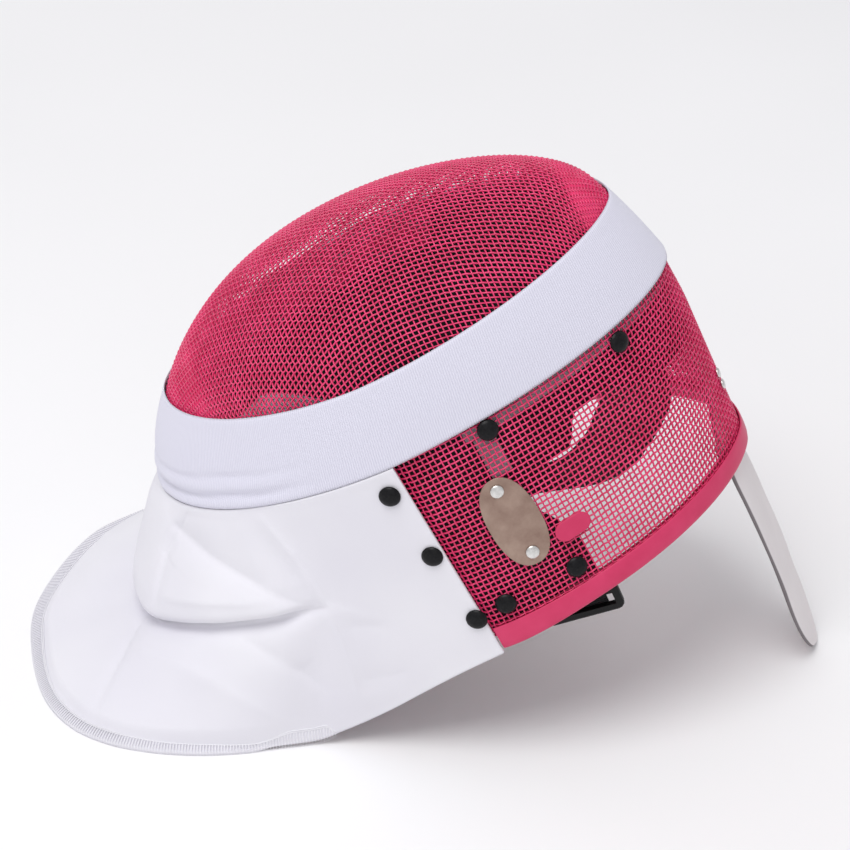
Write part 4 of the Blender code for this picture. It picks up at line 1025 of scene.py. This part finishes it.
def hem_stitches(points, place, row, material):
    """Overlocked thread along the hem: slanting stitches over the edge and a chain on their inner ends."""
    edge, inner = points[:, -1], points[:, np.searchsorted(row, 1.87)]
    run = run_along(edge)
    at = np.arange(int(run[-1] / HEM_PITCH) + 1) * HEM_PITCH
    outer_line, inner_line = (np.stack([np.interp(at + ahead, run, line[:, k]) for k in range(3)], axis=1)
                              for ahead, line in ((0.0, edge), (0.5 * HEM_PITCH, inner)))
    length = np.linalg.norm(inner_line - outer_line, axis=1, keepdims=True)
    spot = np.interp(at, run, place)
    used = smooth(HEM_START, HEM_START + 0.5, np.minimum(spot, BIB_LAST - spot))
    reach = np.minimum(length, 7.0) * np.maximum(used, 0.05)[:, None]
    inner_line = outer_line + (inner_line - outer_line) / length * reach
    outward = unit(outer_line - inner_line)
    up = np.array([0.0, 0.0, 1.0])
    paths = []
    for k in np.flatnonzero(used[:-1] >= 0.05):
        a, b, o = inner_line[k], outer_line[k], outward[k]
        paths.append([a + up * 0.15, a * 0.6 + b * 0.4 + up * 0.45, b + up * 0.35,
                      b + o * 0.55 - up * 0.9, b - up * 2.0])
    for offset in (0.0, 0.9):
        chain = (inner_line - outward * offset)[used >= 0.05]
        chain[:, 2] += 0.35 + 0.12 * np.cos(np.arange(len(chain)) * math.pi)
        paths.append(chain)
    normals = [np.repeat(up[None], len(path), 0) for path in paths]
    mesh = wires_mesh("hem_stitches", [np.array(path) * MM for path in paths], normals, THREAD_RADIUS * MM, 5)
    link("hem_stitches", mesh, material, ())


# Small hard parts

def bib_seat(place, row, side):
    """The placing of a snap on the bib."""
    steps = np.array([-1.0, 0.0, 1.0])
    spots = bib_surface(place + 0.25 * steps, row + 0.05 * steps)[0] * MM
    along = spots[2, 1] - spots[0, 1]
    out = unit(np.cross(along, spots[1, 2] - spots[1, 0]))
    if out[1] * side > 0.0:
        out = -out
    return placed(spots[1, 1] + out * 0.6 * MM, out, along)


def snap_caps(material):
    """Every snap's cap: a domed disc with a soft shoulder."""
    seats, names = [], []
    for side, label in ((1, "near"), (-1, "far")):
        for number, (degrees, depth, lift) in enumerate(MESH_SNAPS, 1):
            seats.append(wall_seat(math.radians(degrees) * side, depth, lift))
            names.append(f"mesh_snap_{label}_{number}")
        for number, (place, row) in enumerate(BIB_SNAPS, 1):
            seats.append(bib_seat(place if side > 0 else BIB_LAST - place, row, side))
            names.append(f"bib_snap_{label}_{number}")
    turned_heads("snap_caps", SNAP_HEAD, 32, seats, material, names)


def plate_piece(plate_material, rivet_material):
    theta = wall_theta(PLATE_T, PLATE_N)
    out, along, down = wall_frame(theta, PLATE_N)
    seat = world(wire_shell(theta, PLATE_N)) + out * 0.5 * MM
    outline = [[half * signed_power(value, 2.0 / PLATE_POWER)
                for half, value in zip(PLATE_HALF, (math.cos(angle), math.sin(angle)))]
               for angle in (2.0 * math.pi * i / 72 for i in range(72))]
    plate = slab("bare_plate", outline, PLATE_THICKNESS, placed(seat, out, along), plate_material, "id_plate")
    round_edges(plate, 0.25, 3, True)
    spots = [placed(seat + out * 1.0 * MM + down * sign * RIVET_SPACING / 2.0 * MM, out, along)
             for sign in (-1.0, 1.0)]
    turned_heads("plate_rivets", PLATE_RIVET_HEAD, 28, spots, rivet_material, ["id_rivet_1", "id_rivet_2"])


def tab_piece(material):
    radius = TAB_WIDTH / 2.0
    outline = []
    for end, start in ((1.0, -90.0), (-1.0, 90.0)):
        for i in range(17):
            angle = math.radians(start + 180.0 / 16 * i)
            outline.append((end * (TAB_LENGTH / 2.0 - radius) + radius * math.cos(angle),
                            radius * math.sin(angle)))
    seat = wall_seat(wall_theta(TAB_T, TAB_N), TAB_N, 0.6)
    piece = slab("vinyl_tab", outline, TAB_THICKNESS, seat, material, "strap_tab")
    round_edges(piece, 0.55, 4)


def crown_rivets(material):
    seats = [wall_seat(0.0, depth, 0.35) for depth in CROWN_RIVET_DEPTHS]
    turned_heads("crown_rivet_heads", CROWN_RIVET_HEAD, 28, seats, material,
                 ["crown_rivet_1", "crown_rivet_2"])


# Lining

def lining_top(degrees):
    return 5.0 + 25.0 * smooth(78.0, 88.0, degrees) * (1.0 - smooth(142.0, 152.0, degrees))


def lining_bottom(degrees):
    depth = 90.0 - 17.0 * smooth(25.0, 43.0, degrees) + 14.0 * smooth(48.5, 53.5, degrees)
    depth = depth + (161.0 - 87.0) * smooth(65.0, 69.0, degrees)
    short = CHIN_WALL_DEPTH - 4.0 + 38.0 * (1.0 - smooth(128.0, 150.0, degrees))
    return depth + (short - 161.0) * smooth(CHEEK_START_DEG, CHEEK_END_DEG, degrees)


def lining_piece(material):
    """A padded band with rolled edges and quilting lines on its inner side."""
    theta = np.linspace(-math.pi, math.pi, 360, endpoint=False)
    run = run_along(wire_shell(theta, 80.0))
    rolled = [LINING_THICKNESS * (1 - math.cos(math.radians(angle))) / 2.0 for angle in (45.0, 90.0, 135.0)]
    shares = np.concatenate([np.arange(13) / 12.0, np.ones(3), 1.0 - np.arange(41) / 40.0, np.zeros(3)])
    insets = np.concatenate([np.zeros(13), rolled, np.full(41, LINING_THICKNESS), rolled[::-1]])
    shares, insets = shares[:, None], insets[:, None]
    degrees = np.abs(np.degrees(theta))
    top, bottom = lining_top(degrees), lining_bottom(degrees)
    roll = np.sqrt(np.maximum(1.0 - (insets / LINING_THICKNESS * 2.0 - 1.0) ** 2, 0.0)) * 1.6
    depth = top + (bottom - top) * shares
    depth = depth + np.where(shares > 0.99, roll, 0.0) - np.where(shares < 0.01, roll, 0.0)
    quilt = [np.abs(np.sin(math.pi * slant / QUILT_PITCH)) for slant in (run + depth, run - depth)]
    seam = np.minimum(*quilt)
    puff = np.where(insets >= LINING_THICKNESS - 0.01, 1.5 * np.minimum(seam * 2.2, 1.0) ** 0.6 - 0.9, 0.0)
    edge = np.clip(np.minimum(shares, 1.0 - shares) / 0.06, 0.0, 1.0)
    points = wire_shell(theta, depth, WIRE_WALL + LINING_GAP + insets + puff * edge)
    piece = looped_piece("quilted_lining", points, pairs(run, depth), material, ["lining"])


def tape(name, degrees, depth, material, node):
    """A thin strip on the inside of the wire, over a grid of angles and depths."""
    theta, depth = np.meshgrid(np.radians(degrees), depth)
    points = world(wire_shell(theta, depth, WIRE_WALL + 0.5))
    mesh = mesh_of(name, points, grid_quads(*depth.shape), pairs(run_along(points[0]) / MM, depth))
    piece = link(name, mesh, material, [node])
    thicken(piece, world([0.0, 0.0, 60.0]), TAPE_THICKNESS)
    round_edges(piece, 0.3, 2)


# Tongue, strap, buckle

TONGUE_PATH = np.array(((133.6, 160), (131.4, 178), (130.5, 195), (129.1, 215), (127.4, 235), (124.9, 255),
                        (122.0, 275), (120.1, 292), (119.1, 305), (118.3, 313.9)))
# The strap's edge nearer to the crown and the one nearer to the chin, both as t, s, n
STRAP_EDGES = np.array((
    (48.5, 87.0, 105.0, 29.5, 93.5, 88.0),
    (52.4, 77.0, 112.7, 38.0, 86.0, 91.0),
    (57.4, 64.0, 122.5, 49.5, 75.5, 95.5),
    (64.9, 48.0, 134.8, 59.5, 60.0, 105.0),
    (72.2, 31.0, 145.3, 64.0, 41.0, 113.0),
    (81.1, 12.0, 152.6, 69.2, 18.0, 118.3),
    (90.3, -10.0, 154.6, 69.5, -8.0, 123.2),
    (96.8, -32.0, 155.8, 69.0, -34.0, 129.2),
    (100.0, -52.0, 156.0, 68.5, -57.0, 134.5),
))
# The anchor's two edges, each as an angle in degrees and a depth
ANCHOR_EDGES = ((67.0, 107.0, 78.5, 102.0), (61.2, 131.0, 77.0, 128.0), (60.4, 150.0, 76.0, 146.0))
# The webbing threaded through the buckle: (outwards, up) from the buckle's middle, and how far it reaches
# along the buckle
THREADED_PATH = ((3.2, 12.5), (3.2, 9.5), (2.9, 7.4), (-3.2, 2.2), (-3.3, -2.1), (-3.3, -8.0), (-3.3, -13.2))
THREADED_ENDS = (-18.4, 13.9)


def wall_inside_t(s, n):
    """The t of the wire's inner side near the crown, at distances s from the middle."""
    rim = float(rim_depth(0.0))
    inwards = WIRE_WALL if n < rim - 6.0 else WIRE_WALL + 2.1
    points = wire_shell(np.radians(np.linspace(0.0, 60.0, 400)), min(n, rim), inwards)
    return np.interp(np.abs(s), points[:, 1], points[:, 0])


def tongue_piece(material):
    end_n = TONGUE_PATH[-1, 1]
    depths = np.concatenate([np.linspace(TONGUE_ROOT_N, end_n - TONGUE_TIP, 90),
                             end_n - TONGUE_TIP * (1.0 - np.sin(np.linspace(0.0, math.pi / 2, 16)[1:]))])
    path_t, path_n = TONGUE_PATH[:, 0], TONGUE_PATH[:, 1]
    across = -np.cos(np.linspace(0.0, math.pi, 25))
    edge = TONGUE_THICKNESS * 0.5 * (1.0 - np.sqrt(np.maximum(1.0 - np.abs(across) ** 5, 0.0)))
    rings = []
    for n in depths:
        half = TONGUE_ROOT_HALF_WIDTH
        half += (TONGUE_HALF_WIDTH - TONGUE_ROOT_HALF_WIDTH) * smooth(120.0, 156.0, n)
        if n > end_n - TONGUE_TIP:
            past = min((n - end_n + TONGUE_TIP) / TONGUE_TIP, 1.0)
            half *= 0.1 + 0.9 * math.sqrt(1.0 - past * past)
        free = float(smooth(136.0, 164.0, n))
        s = half * across
        flat = curve_through(path_n, path_t, np.array([max(n, path_n[0])]))[0] + TONGUE_THICKNESS / 2.0
        t = np.full_like(s, flat)
        if n < TONGUE_FREE_N:
            wall = wall_inside_t(s, n) - 0.5
            t = wall + (np.minimum(flat, wall) - wall) * free
        welt = 0.35 * np.exp(-((np.abs(across) - 0.86) / 0.05) ** 2) * (n > 165)
        ripples = 0.25 * math.sin(n / 13.0) + 0.18 * np.sin(n / 7.0 + s / 9.0)
        lean = TONGUE_LEAN * max((n - TONGUE_FREE_N) / 140.0, 0.0) ** 1.3
        outer = t - edge - welt + ripples * 0.6 * free
        inner = t - TONGUE_THICKNESS + edge + welt * 0.6
        outer, inner = (np.stack([side, s - lean, np.full_like(s, n)], axis=1) for side in (outer, inner))
        rings.append(np.concatenate([outer, inner[-2:0:-1]]))
    cross = np.concatenate([across, across[-2:0:-1]]) * TONGUE_HALF_WIDTH
    tube("tongue_cover", world(rings), pairs(depths[:, None], cross), 70.0, material, ["tongue"])


def ribbon(name, lines, count, thickness, material, nodes):
    """A woven strap through pairs of places on its two edges in the world, with rounded edges."""
    first, second = (through(np.asarray(line), np.linspace(0.0, len(line) - 1.0, count)) for line in lines)
    middle = (first + second) / 2.0
    run = run_along(middle) / MM
    out = unit(np.cross(first - second, np.gradient(middle, axis=0)))
    half = thickness / 2.0 * MM
    shares = np.linspace(0.0, 1.0, 21)
    rows = []
    for sign in (1.0, -1.0):
        for share in shares[::int(sign)]:
            edge = min(share, 1.0 - share)
            thin = math.sqrt(1.0 - (1.0 - min(edge / 0.03, 1.0)) ** 2)
            rows.append(first + (second - first) * share + out * half * sign * max(thin, 0.05))
    width = np.concatenate([shares, shares[::-1]]) * (np.linalg.norm(first[0] - second[0]) / MM)
    tube(name, np.stack(rows, axis=1), pairs(run[:, None], width), 70.0, material, nodes)


def strap_pieces(elastic, plastic):
    inwards = WIRE_WALL + STRAP_THICKNESS / 2.0 + STRAP_GAP
    ends = [world(wire_shell(-math.radians(end), STRAP_FAR_N, inwards)) for end in STRAP_FAR_DEG]
    lines = [[*world(STRAP_EDGES[:, k:k + 3]), end] for k, end in zip((0, 3), ends)]
    ribbon("elastic_strap", lines, 120, STRAP_THICKNESS, elastic, ["rear_strap"])
    inwards = WIRE_WALL + LINING_GAP + LINING_THICKNESS + ANCHOR_GAP + ANCHOR_THICKNESS / 2.0
    lines = [[wire_shell(math.radians(row[k]), row[k + 1], inwards) for row in ANCHOR_EDGES] for k in (0, 2)]
    bar_s = BUCKLE_PLACE[1] + (BUCKLE_SIZE[2] + ANCHOR_THICKNESS) / 2.0 + BUCKLE_GAP
    bar_n = BUCKLE_PLACE[2] - BUCKLE_SIZE[1] / 2.0 + BUCKLE_BAR
    for line, t in zip(lines, (ANCHOR_BAR_T, lines[1][-1][0])):
        line.append(np.array((t, bar_s, bar_n)))
    ribbon("strap_webbing", world(lines), 30, ANCHOR_THICKNESS, elastic, ["strap_anchor"])
    cos, sin = math.cos(BUCKLE_TILT), math.sin(BUCKLE_TILT)
    path = np.array([(-sin * up, -out, cos * up) for out, up in THREADED_PATH])
    lines = [(path + np.array((cos, 0.0, sin)) * end) * MM + world(BUCKLE_PLACE) for end in THREADED_ENDS]
    ribbon("threaded_webbing", lines, 40, ANCHOR_THICKNESS, elastic, ())
    buckle = frame["nodes"]["strap_buckle"].data.materials
    buckle.clear()
    buckle.append(plastic)


# Studio

def put_in(name, data, matrix):
    """Puts a light or the camera into the scene."""
    item = bpy.data.objects.new(name, data)
    bpy.context.scene.collection.objects.link(item)
    item.matrix_world = matrix
    return item


def studio():
    m = Nodes("studio_floor", (0.92, 0.915, 0.92), 0.7)
    m.done(m.ramp(m.noise(3.0, 2.0), (0.91, 0.905, 0.91), (0.93, 0.925, 0.93)))
    bpy.ops.mesh.primitive_plane_add(size=14.0, location=(0.0, 2.0, 0.0))
    floor = bpy.context.active_object
    floor.name = "studio_floor"
    floor.data.materials.append(m.material)

    sky = bpy.data.worlds.new("studio")
    sky.use_nodes = True
    background = sky.node_tree.nodes["Background"].inputs
    background["Color"].default_value = (0.97, 0.97, 1.0, 1.0)
    background["Strength"].default_value = SKY_STRENGTH
    bpy.context.scene.world = sky

    for name, place, target, size, power in LIGHTS:
        light = bpy.data.lights.new(name, "AREA")
        light.shape = "DISK"
        light.size = size
        light.energy = power
        turn = (Vector(target) - Vector(place)).to_track_quat("-Z", "Y")
        put_in(name, light, Matrix.Translation(place) @ turn.to_matrix().to_4x4())


def photo_camera():
    azimuth, elevation = math.radians(6.0), math.radians(32.5)
    right = Vector((math.cos(azimuth), math.sin(azimuth), 0.0))
    back = Vector((math.sin(azimuth) * math.cos(elevation), -math.cos(azimuth) * math.cos(elevation),
                   math.sin(elevation)))
    up = back.cross(right)
    place = Vector(FACE_CENTRE) + back * CAMERA_DISTANCE + right * CAMERA_SHIFT[0] + up * CAMERA_SHIFT[1]
    data = bpy.data.cameras.new("photo_camera")
    data.sensor_width = 36.0
    data.lens = CAMERA_LENS
    data.clip_start = 0.05
    data.clip_end = 30.0
    matrix = Matrix((right, up, back)).transposed().to_4x4()
    bpy.context.scene.camera = put_in("photo_camera", data, Matrix.Translation(place * MM) @ matrix)


def main():
    paint = wire_paint()
    vinyl = pink_vinyl()
    steel = bright_steel()
    grey = grey_tape()
    dome_wires(paint)
    wall_wires(paint)
    band_piece(webbing_cloth())
    rim_piece(vinyl)
    hem_stitches(*bib_piece(bib_cloth()), thread_cloth())
    snap_caps(black_enamel())
    plate_piece(bronze(), steel)
    tab_piece(vinyl)
    crown_rivets(steel)
    lining_piece(lining_cloth())
    tape("edge_tape", np.linspace(-73.0, 73.0, 120), np.linspace(BAND_DEPTH, 55.5, 5), grey, "lining_edge")
    for side, label in ((1, "near"), (-1, "far")):
        tape(f"strap_tape_{label}", np.linspace(66.5, 71.5, 5) * side, np.linspace(56.2, 80.0, 12), grey,
             f"lining_strap_{label}")
    tongue_piece(tongue_cover())
    strap_pieces(black_elastic(), black_plastic())
    studio()
    photo_camera()
    bpy.context.scene.view_settings.view_transform = "Standard"


main()
